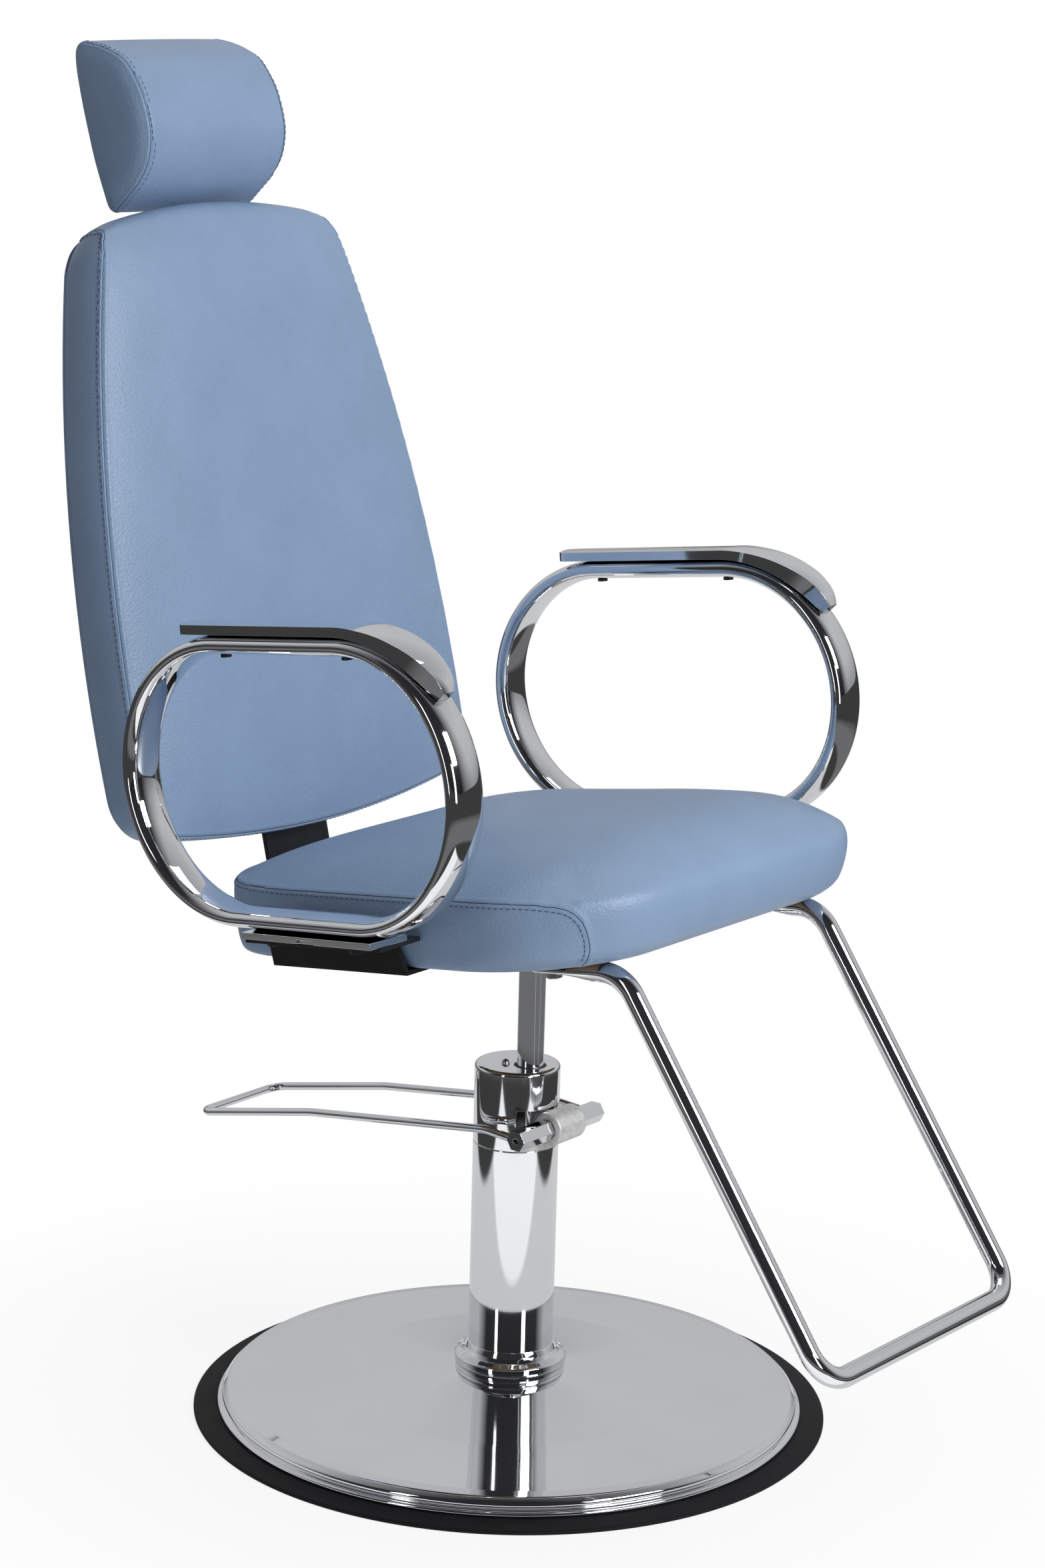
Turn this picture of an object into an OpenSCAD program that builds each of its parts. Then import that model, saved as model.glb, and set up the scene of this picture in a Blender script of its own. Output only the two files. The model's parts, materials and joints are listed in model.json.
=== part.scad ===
// Hydraulic barber chair with a padded back, a sliding headrest, loop armrests and a foot pump.
// Millimetres, +Z up. The chair faces -Y and the sitter's left is +X.
// The origin is on the floor, under the middle of the round base.

/* [Base] */
// Outer diameter of the rubber floor ring
ring_d = 612; // [590:2:640]
// Thickness of the rubber floor ring
ring_t = 6.5; // [5.5:0.5:8]
// Width of the ring's band that lies under the base plate
ring_seat = 22; // [16:1:30]
// Outer diameter of the chromed base cover at its foot
cover_d = 566; // [550:2:576]
// Height of the cover's stepped rim above the floor ring
rim_h = 17.5; // [16:0.5:20]
// Height the cover rises from its rim to the collar
cover_rise = 19.5; // [17:0.5:23]
// Sheet thickness of the base cover
cover_wall = 1.6; // [1.2:0.1:2]
// Distance from the cover's edge in to the edge of the heavy base plate under it
plate_inset = 33; // [23:1:53]
// Thickness of the base plate
plate_t = 13; // [10:0.5:16]

/* [Column] */
// Outside diameter of the column
column_d = 82; // [78:1:88]
// Wall of the column
column_wall = 3; // [2:0.5:3]
// Height of the column's top edge above the floor
column_top = 272; // [255:1:290]
// Diameter of the flange at the foot of the column
flange_d = 150; // [140:1:160]
// Thickness of that flange
flange_t = 10; // [8:0.5:12]
// Outside diameter of the two collar rings
collar_d = 108; // [100:1:116]
// Height of the collar's upright wall
collar_wall_h = 14; // [10:0.5:18]
// Height of the collar's sloping top
collar_slope_h = 12; // [8:0.5:16]
// Height of the cap on top of the column
cap_h = 77; // [72:1:90]
// Wall of the cap's sleeve
cap_wall = 3.6; // [3:0.2:4]
// Thickness of the cap's top
cap_top_t = 9; // [8:0.5:12]
// Width of the pump notch in the front of the cap
notch_w = 65; // [60:1:68]
// Height of the pump notch
notch_h = 40; // [38:1:46]

/* [Ram] */
// Diameter of the polished piston rod
rod_d = 26; // [24:1:27]
// Distance of the rod's axis in front of the column's axis
rod_offset = 15; // [14:0.5:15]
// Height of the rod's top end at rest
rod_top = 479; // [478:0.5:480]
// Outside diameter of the pressure cylinder
cylinder_d = 37; // [36:0.5:37]
// Wall of the pressure cylinder
cylinder_wall = 3; // [2.5:0.25:3.5]
// Height of the piston head's lower face at rest
piston_z = 122; // [118:1:130]
// Height of the piston head
piston_h = 22; // [18:1:26]

/* [Pump] */
// Distance of the pedal bar in front of the column's axis
bar_y = 48; // [47.5:0.25:49]
// Height of the pedal bar
bar_z = 295; // [294.5:0.25:297]
// Length of the pedal bar
bar_len = 126; // [124:1:134]
// Width across the flats of the pedal bar
bar_af = 18; // [16:0.5:19]
// Diameter of the pedal bar's round journal
journal_d = 12; // [11:0.5:13]
// Outside diameter of the pump lug's boss
lug_d = 33; // [31:0.5:33]
// Width of the pump lug
lug_w = 42; // [40:1:46]
// Sideways shift of the pump lug
lug_shift = 6; // [4:0.5:7]
// Thickness of the pedal crank
crank_t = 8; // [6:0.5:8.5]
// Sideways place of the pedal crank
crank_x = 21.5; // [21:0.25:22]
// Diameter of the pump plunger
plunger_d = 8; // [7:0.5:9]
// Sideways place of the pump plunger
plunger_x = 25.5; // [25.5:0.25:26.5]
// Distance of the plunger in front of the column's axis
plunger_y = 10; // [9:0.5:11]

/* [Pedal] */
// Half the distance between the pedal's two rods
pedal_half = 57; // [55:0.5:58]
// Diameter of the pedal's rod
pedal_d = 8; // [7:0.5:9]
// Distance from the pedal bar back to the pedal's cross rod
pedal_reach = 404; // [360:1:404]
// Height the pedal drops from the bar to the cross rod
pedal_drop = 60; // [50:1:70]

/* [Seat] */
// Backward tilt of the seat
seat_tilt = 7.4; // [6:0.2:8]
// Height of the seat board's underside over the origin
seat_z = 494.6; // [494:0.2:495]
// Width of the seat cushion
seat_w = 490; // [480:1:492]
// Distance from the origin to the cushion's front edge
seat_front = 270; // [262:1:276]
// Distance from the origin to the cushion's rear edge
seat_rear = 194; // [188:1:200]
// Height of the cushion's side above the board's underside
seat_side_h = 68; // [60:1:76]
// Height of the cushion's crown above the board's underside, at the front
seat_crown_h = 108; // [100:1:112]
// How much lower the crown is at the rear
seat_crown_fall = 16; // [10:1:20]
// Radius of the seat's front corners, seen from above
seat_front_r = 125; // [115:1:135]
// Radius of the seat's rear corners, seen from above
seat_rear_r = 98; // [88:1:106]
// Thickness of the plywood seat board
board_t = 15; // [12:1:18]
// Thickness of the steel seat frame
frame_t = 7.5; // [6:0.5:8]
// Height of the seat socket's hub
socket_h = 34; // [30:1:36]

/* [Arms] */
// Distance from the side of the seat cushion out to the middle of an armrest
arm_gap = 40; // [37:1:47]
// Distance of the armrest's middle behind the origin, along the seat
arm_y = 13.6; // [6:0.2:20]
// Height of the armrest loop's middle above the seat board's underside
arm_z = 171.4; // [168:0.2:180]
// Radius of the loop's round ends, to the middle of the tube
arm_r = 124; // [120:1:128]
// Length of the loop's straight stretches
arm_straight = 149; // [140:1:156]
// Outward turn of the armrests towards the front
arm_splay = 3; // [2:0.5:4]
// Width of the oval armrest tube
arm_tube_w = 42; // [38:1:44]
// Thickness of the oval armrest tube
arm_tube_t = 19; // [17:0.5:20]
// Wall of the armrest tube
arm_wall = 2; // [1.5:0.25:2.5]
// Width of the armrest cap
cap_w = 44; // [40:1:46]
// Thickness of the armrest cap
cap_t = 10; // [8:0.5:12]
// Length of the plate under an armrest loop
arm_plate_len = 158; // [150:1:170]
// Thickness of the plate under an armrest loop
arm_plate_t = 6; // [5:0.5:8]
// Thickness of the folded arm bracket
bracket_t = 4; // [3:0.5:5]

/* [Back] */
// Recline of the back from upright
back_recline = 13.8; // [13:0.2:14.4]
// Distance of the back's lower front edge behind the origin
back_y = 249.3; // [247:0.1:255]
// Height of the back's lower front edge
back_z = 551; // [550:0.5:556]
// Height of the backrest's top along its slope
back_h = 606; // [566:2:626]
// How far the middle of the backrest's lower edge reaches below the start of its slope
back_drop = 8; // [4:1:10]
// Greatest half width of the backrest
back_half_w = 239; // [228:1:246]
// Height on the backrest of its greatest width
back_wide_at = 110; // [90:2:130]
// Radius of the backrest's curved sides
back_side_r = 1530; // [1450:10:1650]
// Radius of the backrest's corners
back_corner = 44; // [36:1:50]
// Depth of the backrest at its sides
back_depth = 56; // [53:0.5:58]
// Depth from the front seam to the back board
back_foam = 25; // [23:0.5:25]
// Thickness of the plywood back board
back_board_t = 12; // [11:0.5:12]
// Width of the steel back bracket
back_bar_w = 90; // [80:1:96]
// Thickness of the steel back bracket
back_bar_t = 6; // [5:0.5:7]
// Height on the backrest of the bracket's top end
back_bar_top = 250; // [230:2:270]

/* [Headrest] */
// Width of the headrest
head_w = 208; // [194:2:222]
// Height of the headrest
head_h = 164; // [160:1:168]
// Depth of the headrest
head_depth = 83; // [81:0.5:85]
// Height of the headrest's lower edge above the top of the backrest
head_gap = 1; // [0:0.5:5]
// Width of the flat headrest bar
head_bar_w = 32; // [26:1:36]
// Thickness of the flat headrest bar
head_bar_t = 5; // [4:0.25:5.25]
// Length of the headrest bar below the headrest
head_bar_below = 176; // [160:1:190]
// Length of the headrest guide
guide_len = 90; // [80:1:100]

/* [Footrest] */
// Half the distance between the footrest's two legs
foot_half = 155; // [148:1:162]
// Diameter of the footrest tube
foot_d = 19; // [17:0.5:20]
// Wall of the footrest tube
foot_wall = 1.5; // [1:0.25:2]
// Distance of the footrest's upper bend in front of the origin, along the seat
foot_bend_y = 232.6; // [230:0.2:238]
// Angle of the legs from square to the seat
foot_angle = 27.8; // [26:0.2:30]
// Length of a leg, from the upper bend to the cross bar
foot_leg = 397; // [370:1:400]
// Radius of the footrest's upper bends
foot_bend_r = 38; // [30:1:42]
// Radius of the footrest's lower bends
foot_corner_r = 32; // [26:1:42]
// Thickness of the flattened ends
foot_flat_t = 7; // [6:0.5:8]

/* [Hidden] */
$fn = 48;

chrome = [0.80, 0.81, 0.83];
cast_grey = [0.62, 0.62, 0.61];
black_steel = [0.10, 0.10, 0.11];
rubber = [0.07, 0.07, 0.08];
vinyl = [0.50, 0.60, 0.74];
plywood = [0.76, 0.62, 0.42];
bronze = [0.69, 0.50, 0.28];
nylon = [0.88, 0.87, 0.82];
zinc = [0.70, 0.71, 0.72];

// Small play between pieces: turning fit, loose fit and bolt hole
run_fit = 0.05;
loose_fit = 0.3;
bolt_fit = 0.2;
// A cut reaches this far past the face it opens
past = 1;

// Base and column levels
plate_d = cover_d - 2 * plate_inset;
plate_z = ring_t;
flange_z = plate_z + plate_t;
rim_z = ring_t + rim_h;
cover_top = rim_z + cover_rise;
collar_top = cover_top + collar_wall_h + collar_slope_h;
collar_split = cover_top + collar_wall_h / 2 - 0.5;
column_bore = column_d - 2 * column_wall;
cap_top = column_top + cap_h;
cap_bore = column_d - 2 * cap_wall;
plug_h = 16;
flange_bolt_ring = (column_d + flange_d) / 4 + 2;

// Pump block: it fills the head of the column, below the notch
block_z = column_top - 26;
block_top = bar_z - lug_d / 2;
notch_front = 22;
barrel_r = 7.4;
spring_z = column_top - 13.5;
head_under = 4;
nose_r = 5;
plunger_top = bar_z - nose_r - loose_fit;
plunger_low = column_top - 72;
crank_reach = bar_y - plunger_y;
hub_r = 11;

// Ram
rod_axis = [0, -rod_offset, 0];
head_bore = cylinder_d - 2 * cylinder_wall;
spigot_d = 14;
bush_wall = 2.5;
wiper_h = 2;

// Seat: how far the board lies inside the cushion, and how far the cushion draws in at its foot and crown
board_inset = 18;
board_front_inset = 52;
seat_tuck = 7;
seat_tuck_mid = 2.5;
seat_tuck_h = 30;
seat_front_tuck = 36;
seat_front_tuck_mid = 18;
seat_crown_inset = 125;
seat_least_r = 20;
frame_rail_x = 60;
frame_rail_w = 36;
cross_y = 156;
cross_w = 32;
frame_rear = 168;
socket_w = 130;
socket_t = 8;
socket_d = 54;
socket_z = rod_top - socket_h + 5;
frame_bolt_x = 52;
frame_bolt_y = 50;
bolt_d = 8;
bolt_af = 13;
bolt_head = 5.3;
screw_d = 6;

// Arms
loop_bottom = arm_z - arm_r - arm_tube_t / 2;
arm_flange_z = loop_bottom - arm_plate_t;
arm_half = seat_w / 2 + arm_gap;
web_gap = 2.3;
web_x = seat_w / 2 + web_gap;
bracket_len = 158;
bracket_y = arm_y - 2;
bracket_bolt_x = web_x - 32;
bracket_bolt_y = 54;
arm_bolt_y = 51;
arm_plate_y = -17;
cap_rear = arm_straight / 2 + 41;
nose_angle = 50;

// Footrest
foot_axis_z = -frame_t - foot_flat_t / 2;
foot_flat_w = 26;
foot_neck_y = cross_y + cross_w / 2 + 2;
foot_tube_y = foot_neck_y + 16;
foot_bottom_y = foot_bend_y + foot_leg * sin(foot_angle);
foot_bottom_z = foot_axis_z - foot_leg * cos(foot_angle);

// Back
bar_front = back_foam + back_board_t;
panel_t = 6;
panel_front = back_depth - panel_t;
rim_wall = 14;
head_bar_mid = bar_front + 5;
guide_low = back_h - 126;
back_crown = 12;
back_top_fall = 9;
back_bolt_low = 90;
back_bolt_drop = 50;
back_bolt_heights = [back_bolt_low, back_bar_top - back_bolt_drop];

// Headrest
head_low = back_h + head_gap;
head_front = -18;
head_rear = head_front + head_depth;
head_board_t = 8;
head_board_side = 18;
head_board_w = head_w - 2 * head_board_side;
head_board_gap = 56;
head_board_low = head_low + head_board_gap;
head_board_h = 88;
head_bar_up = 70;
head_bar_end = head_board_low + head_bar_up;
head_screw_heights = [18, 52];
head_brow_r = 38;
head_chin_r = 37;
head_crown_r = 18;
head_lip_r = 5;
head_edge_r = 3;

// ---- Placing ----

module on_rod() {
    translate(rod_axis) children();
}

module on_seat() {
    translate([0, 0, seat_z]) rotate([-seat_tilt, 0, 0]) children();
}

module on_arm(side) {
    on_seat() translate([side * arm_half, arm_y, arm_z]) rotate([0, 0, side * arm_splay]) children();
}

module on_back() {
    translate([0, back_y, back_z]) rotate([-back_recline, 0, 0]) children();
}

module on_bar() {
    translate([0, -bar_y, bar_z]) rotate([0, 90, 0]) children();
}

// ---- Shared shapes ----

function dir(a, b) = (b - a) / norm(b - a);
function bend_len(a, b, c, r) = r * tan(acos(dir(a, b) * dir(b, c)) / 2);
function side_unit(u, w) = (w - (w * u) * u) / norm(w - (w * u) * u);

// Points along a bend at b, on the way from a to c
function bend_points(a, b, c, r) =
    let(u = dir(a, b), w = dir(b, c), n = side_unit(u, w), turn = acos(u * w), steps = ceil(turn / 11))
    [for (i = [0 : steps]) b - u * bend_len(a, b, c, r) + n * r
        + r * (u * sin(turn * i / steps) - n * cos(turn * i / steps))];

// Points along a whole path with rounded corners
function bent_path(pts, radii) = concat(
    [pts[0]],
    [for (i = [1 : len(pts) - 2]) each bend_points(pts[i - 1], pts[i], pts[i + 1], radii[i])],
    [pts[len(pts) - 1]]
);

// Direction of a path at its point i
function heading(path, i) = let(last = len(path) - 1)
    i == 0 ? dir(path[0], path[1])
    : i == last ? dir(path[last - 1], path[last])
    : dir([0, 0, 0], dir(path[i - 1], path[i]) + dir(path[i], path[i + 1]));

// Round bar bent along a path that starts square to the X axis
module bent_bar(path, d, sides) {
    n = len(path);
    next = function (i, v) i < n ? side_unit(heading(path, i), v) : v;
    normals = [for (i = 0, v = [1, 0, 0]; i < n; i = i + 1, v = next(i, v)) v];
    points = [for (i = [0 : n - 1]) let(t = heading(path, i), v = normals[i], w = cross(t, v))
        for (k = [0 : sides - 1]) path[i] + d / 2 * (v * cos(k * 360 / sides) + w * sin(k * 360 / sides))];
    skin = [for (i = [0 : n - 2], k = [0 : sides - 1])
        let(a = i * sides + k, b = i * sides + (k + 1) % sides)
        each [[a, a + sides, b + sides], [a, b + sides, b]]];
    ends = [[for (k = [0 : sides - 1]) k], [for (k = [sides - 1 : -1 : 0]) (n - 1) * sides + k]];
    polyhedron(points, concat(skin, ends));
}

module ring(d_out, d_in, h) {
    difference() {
        cylinder(d = d_out, h = h);
        translate([0, 0, -past]) cylinder(d = d_in, h = h + 2 * past);
    }
}

// Hexagon-head bolt that points up, with its head under z = 0
module hex_bolt(d, length, af = bolt_af, head = bolt_head) {
    translate([0, 0, -head]) cylinder(d = af / cos(30), h = head, $fn = 6);
    cylinder(d = d, h = length);
}

// Round-head screw that points up, with its head under z = 0
module pan_screw(d, length, head_d, head) {
    translate([0, 0, -head]) cylinder(d = head_d, h = head);
    cylinder(d = d, h = length);
}

// Flat oval: two round edges joined by flat faces
module flat_oval(w, t) {
    for (x = [-1, 1]) translate([x * (w - t) / 2, 0]) circle(d = t);
    square([w - t, t], center = true);
}

// ---- Base ----

module floor_ring() {
    lip = 3;
    inner = plate_d / 2 - ring_seat;
    color(rubber) rotate_extrude($fn = 180)
        polygon([
            [inner, 0], [ring_d / 2 - 1.5, 0], [ring_d / 2, 1.5], [ring_d / 2, lip],
            [ring_d / 2 - 2, lip + 1], [cover_d / 2 + 2, ring_t], [inner, ring_t]
        ]);
}

module base_plate() {
    color(cast_grey) difference() {
        translate([0, 0, plate_z]) cylinder(d = plate_d, h = plate_t, $fn = 120);
        translate([0, 0, plate_z - past]) cylinder(d = column_bore - 20, h = plate_t + 2 * past);
        for (a = [0 : 60 : 300]) rotate(a) translate([flange_bolt_ring, 0, plate_z - past])
            cylinder(d = 10 + bolt_fit, h = plate_t + 2 * past);
    }
}

// Half outline of the cover's outer face, from its foot to the collar
function cover_face(inset) = [
    [cover_d / 2 - inset, ring_t],
    [cover_d / 2 - inset, ring_t + 3],
    [cover_d / 2 - 5.5 - inset, ring_t + 5],
    [cover_d / 2 - 6.5 - inset, ring_t + 6.5],
    [cover_d / 2 - 5 - inset, ring_t + 8],
    [cover_d / 2 - 5.5 - inset, ring_t + 11.5],
    [cover_d / 2 - 10 - inset, rim_z - 2 - inset],
    [cover_d / 2 - 19 - inset / 2, rim_z - inset],
    [cover_d * 0.36, rim_z + cover_rise * 0.14 - inset],
    [cover_d * 0.28, rim_z + cover_rise * 0.36 - inset],
    [cover_d * 0.2, rim_z + cover_rise * 0.62 - inset],
    [cover_d * 0.14, rim_z + cover_rise * 0.85 - inset],
    [collar_d / 2, cover_top - inset],
    [column_d / 2 + loose_fit, cover_top - inset]
];

module base_cover() {
    outer = cover_face(0);
    inner = cover_face(cover_wall);
    n = len(outer);
    color(chrome) rotate_extrude($fn = 180)
        polygon(concat(outer, [for (i = [n - 1 : -1 : 0]) inner[i]]));
}

module lower_collar() {
    color(chrome) translate([0, 0, cover_top])
        ring(collar_d - 1, column_d + run_fit, collar_split - cover_top);
}

module upper_collar() {
    wall_top = cover_top + collar_wall_h;
    color(chrome) rotate_extrude($fn = 96)
        polygon([
            [column_d / 2 + run_fit / 2, collar_split], [collar_d / 2 - 1, collar_split],
            [collar_d / 2, collar_split + 1], [collar_d / 2, wall_top - 1.5],
            [collar_d / 2 - 1.5, wall_top], [collar_d / 2 - 6, wall_top + 2.5],
            [column_d / 2 + 4, wall_top + 6.5], [column_d / 2 + 1, collar_top],
            [column_d / 2 + run_fit / 2, collar_top]
        ]);
}

module outer_cylinder() {
    color(chrome) difference() {
        translate([0, 0, flange_z]) cylinder(d = column_d, h = column_top - flange_z, $fn = 96);
        translate([0, 0, flange_z - past]) cylinder(d = column_bore, h = column_top, $fn = 96);
    }
}

// Foot of the column, pressed on and bolted down to the base plate
module column_flange() {
    color(cast_grey) difference() {
        translate([0, 0, flange_z]) ring(flange_d, column_d + run_fit, flange_t);
        for (a = [0 : 60 : 300]) rotate(a) translate([flange_bolt_ring, 0, flange_z - past])
            cylinder(d = 10 + bolt_fit, h = flange_t + 2 * past);
    }
}

module column_plug() {
    color(cast_grey) translate([0, 0, flange_z]) cylinder(d = column_bore - 2 * run_fit, h = plug_h);
}

module column_bolts() {
    color(zinc) for (a = [0 : 60 : 300]) rotate(a) translate([flange_bolt_ring, 0, flange_z + flange_t])
        rotate([180, 0, 0]) hex_bolt(10, flange_t + plate_t - 2, af = 15, head = 5);
}

module column_cap() {
    edge = 4;
    bush_d = rod_d + 2 * bush_wall;
    color(chrome) difference() {
        rotate_extrude($fn = 96) union() {
            translate([0, column_top]) square([column_d / 2, cap_h - edge]);
            translate([0, cap_top - edge - past]) square([column_d / 2 - edge, edge + past]);
            translate([column_d / 2 - edge, cap_top - edge]) intersection() {
                circle(r = edge);
                square(edge);
            }
        }
        translate([0, 0, column_top - past]) cylinder(d = cap_bore, h = cap_h - cap_top_t + past, $fn = 96);
        on_rod() translate([0, 0, column_top]) cylinder(d = bush_d + 2 * run_fit, h = cap_h + past);
        translate([-11, 6, column_top]) cylinder(d = 4, h = cap_h + past);
        translate([-notch_w / 2, -column_d, column_top - past])
            cube([notch_w, column_d - notch_front, notch_h + past]);
    }
}

module rod_bush() {
    color(bronze) on_rod() translate([0, 0, cap_top - cap_top_t])
        ring(rod_d + 2 * bush_wall, rod_d + 2 * run_fit, cap_top_t - wiper_h);
}

module rod_wiper() {
    color(rubber) on_rod() translate([0, 0, cap_top - wiper_h])
        ring(rod_d + 2 * bush_wall, rod_d + 2 * run_fit, wiper_h);
}

module cap_screw() {
    color(zinc) translate([-11, 6, cap_top]) {
        translate([0, 0, -cap_top_t + past]) cylinder(d = 4 - bolt_fit, h = cap_top_t);
        difference() {
            sphere(d = 8);
            translate([-5, -5, -10]) cube(10);
            translate([-0.6, -5, 2.6]) cube([1.2, 10, 3]);
        }
    }
}

module pressure_cylinder() {
    color(zinc) on_rod() translate([0, 0, flange_z + plug_h])
        ring(cylinder_d, head_bore, block_top - flange_z - plug_h);
}

// ---- Pump ----

module pump_block() {
    color(cast_grey) difference() {
        union() {
            translate([0, 0, block_z]) cylinder(d = cap_bore - loose_fit, h = block_top - block_z);
            intersection() {
                translate([0, 0, column_top]) cylinder(d = column_d, h = block_top - column_top, $fn = 96);
                translate([-notch_w / 2 + loose_fit, -column_d, column_top])
                    cube([notch_w - 2 * loose_fit, column_d - notch_front - loose_fit, 20]);
            }
        }
        on_rod() translate([0, 0, block_z - past])
            cylinder(d = cylinder_d + 2 * run_fit, h = 60);
        translate([plunger_x, -plunger_y, 0]) {
            translate([0, 0, block_z - past]) cylinder(d = plunger_d + 2 * run_fit, h = 60);
            translate([0, 0, spring_z]) cylinder(r = barrel_r, h = 60);
        }
    }
}

// Grey casting that carries the pedal bar in front of the column
module pump_lug() {
    color(cast_grey) difference() {
        union() {
            on_bar() translate([0, 0, lug_shift - lug_w / 2]) cylinder(d = lug_d, h = lug_w);
            translate([lug_shift - lug_w / 2 + 2, -bar_y + 6, block_top])
                cube([lug_w - 4, bar_y - 6 - notch_front - 10.5, lug_d / 2 - 3]);
        }
        on_bar() translate([0, 0, -lug_w]) cylinder(d = journal_d + 5, h = 2 * lug_w);
        on_rod() cylinder(d = rod_d + 7, h = 2 * bar_z);
        on_bar() translate([0, 0, crank_x - crank_t / 2 - 0.5]) cylinder(r = hub_r + 1, h = crank_t + 1);
        translate([crank_x - crank_t / 2 - 0.5, -bar_y, bar_z - hub_r - 1])
            cube([crank_t + 1, bar_y, 2 * hub_r + 2]);
    }
}

module shaft_bushes() {
    low = lug_shift - lug_w / 2;
    color(bronze) on_bar() {
        translate([0, 0, low]) ring(journal_d + 5, journal_d + 2 * run_fit, crank_x - crank_t / 2 - 1 - low);
        translate([0, 0, crank_x + crank_t / 2 + 0.5])
            ring(journal_d + 5, journal_d + 2 * run_fit, lug_shift + lug_w / 2 - crank_x - crank_t / 2 - 0.5);
    }
}

// Coil spring under the plunger's head, drawn as its rings
module plunger_spring() {
    wire = 1.4;
    coils = 7;
    free = plunger_top - head_under - spring_z - wire;
    color(zinc) translate([plunger_x, -plunger_y, spring_z + wire / 2])
        for (i = [0 : coils - 1]) translate([0, 0, i * free / (coils - 1)])
            rotate_extrude($fn = 32) translate([plunger_d / 2 + 1.2, 0]) circle(d = wire, $fn = 16);
}

module pump_plunger() {
    color(zinc) translate([plunger_x, -plunger_y, 0]) {
        translate([0, 0, plunger_low]) cylinder(d = plunger_d, h = plunger_top - plunger_low);
        translate([0, 0, plunger_top - head_under]) cylinder(r = 6.6, h = head_under);
    }
}

// ---- Pedal ----

// Hexagonal end of the pedal bar, from its inner face out to its bored end
module hex_end(from, to) {
    out = sign(to - from);
    difference() {
        translate([0, 0, min(from, to)]) rotate(30)
            cylinder(d = bar_af / cos(30), h = abs(to - from), $fn = 6);
        translate([0, 0, to - out * 6]) cylinder(d = 6.4, h = 14, center = true);
        translate([0, 0, out * pedal_half]) rotate([-90, 0, 0])
            cylinder(d = pedal_d + 2 * run_fit, h = bar_af);
    }
}

module pedal_bar() {
    lug_low = lug_shift - lug_w / 2 - 0.5;
    lug_high = lug_shift + lug_w / 2 + 0.5;
    color(chrome) on_bar() {
        hex_end(lug_low, -bar_len / 2);
        translate([0, 0, lug_low - 2]) cylinder(d = journal_d, h = lug_high + 14 - lug_low);
    }
}

module bar_hub() {
    lug_high = lug_shift + lug_w / 2 + 0.5;
    color(chrome) on_bar() difference() {
        hex_end(lug_high, bar_len / 2);
        translate([0, 0, lug_high - past]) cylinder(d = journal_d + 2 * run_fit, h = 12 + past);
    }
}

module pedal_crank() {
    color(cast_grey) translate([crank_x - crank_t / 2, -bar_y, bar_z]) difference() {
        rotate([90, 0, 90]) linear_extrude(crank_t) union() {
            circle(r = hub_r);
            translate([0, -nose_r]) square([crank_reach, 2 * nose_r]);
            translate([crank_reach, 0]) circle(r = nose_r);
        }
        translate([-past, 0, 0]) rotate([0, 90, 0])
            cylinder(d = journal_d + 2 * run_fit, h = crank_t + 2 * past);
    }
}

module pedal_loop() {
    start = [0, -bar_y + 1, bar_z];
    mouth = [0, -bar_y + 14, bar_z];
    crest = [0, -bar_y + 40, bar_z + 2];
    knee = [0, -bar_y + pedal_reach * 0.64, bar_z - pedal_drop * 0.48];
    heel = [0, -bar_y + pedal_reach, bar_z - pedal_drop];
    half = [start, mouth, crest, knee, heel];
    right = [for (p = half) p + [pedal_half, 0, 0]];
    left = [for (i = [4 : -1 : 0]) half[i] - [pedal_half, 0, 0]];
    bends = [0, 30, 60, 200, 16, 16, 200, 60, 30, 0];
    color(chrome) bent_bar(bent_path(concat(right, left), bends), pedal_d, 16);
}

// ---- Ram ----

module piston_head() {
    groove_z = piston_z + piston_h / 2 - 2;
    color(cast_grey) on_rod() difference() {
        translate([0, 0, piston_z]) cylinder(d = head_bore - 2 * run_fit, h = piston_h);
        translate([0, 0, piston_z + 6]) cylinder(d = spigot_d + 2 * run_fit, h = piston_h);
        translate([0, 0, groove_z]) ring(head_bore + 4, head_bore - 5, 4);
    }
}

module piston_seal() {
    color(rubber) on_rod() translate([0, 0, piston_z + piston_h / 2 - 2])
        ring(head_bore - 2 * run_fit, head_bore - 5, 4);
}

module piston_rod() {
    shoulder = piston_z + piston_h + run_fit;
    color(chrome) on_rod() {
        translate([0, 0, shoulder]) cylinder(d = rod_d, h = rod_top - shoulder, $fn = 64);
        translate([0, 0, piston_z + 7]) cylinder(d = spigot_d, h = shoulder - piston_z - 7);
    }
}

// ---- Seat frame ----

module frame_bolt_places() {
    for (x = [-1, 1], y = [-1, 1])
        translate([x * frame_bolt_x, -rod_offset + y * frame_bolt_y, 0]) children();
}

module seat_socket() {
    color(black_steel) difference() {
        union() {
            on_rod() translate([0, 0, socket_z]) cylinder(d = socket_d, h = seat_z - socket_z);
            on_seat() translate([-socket_w / 2, -rod_offset - socket_w / 2, -frame_t - socket_t])
                cube([socket_w, socket_w, socket_t]);
        }
        on_rod() translate([0, 0, socket_z - past])
            cylinder(d = rod_d + 2 * run_fit, h = rod_top - socket_z + past);
        on_seat() translate([-socket_w, -socket_w, -frame_t]) cube([2 * socket_w, 2 * socket_w, 60]);
        on_seat() frame_bolt_places() translate([0, 0, -frame_t - socket_t - past])
            cylinder(d = bolt_d + bolt_fit, h = socket_t + 2 * past);
        for (a = [60, 120]) on_rod() translate([0, 0, socket_z + 12]) rotate([0, 90, a])
            cylinder(d = screw_d + bolt_fit, h = socket_d);
    }
}

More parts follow.
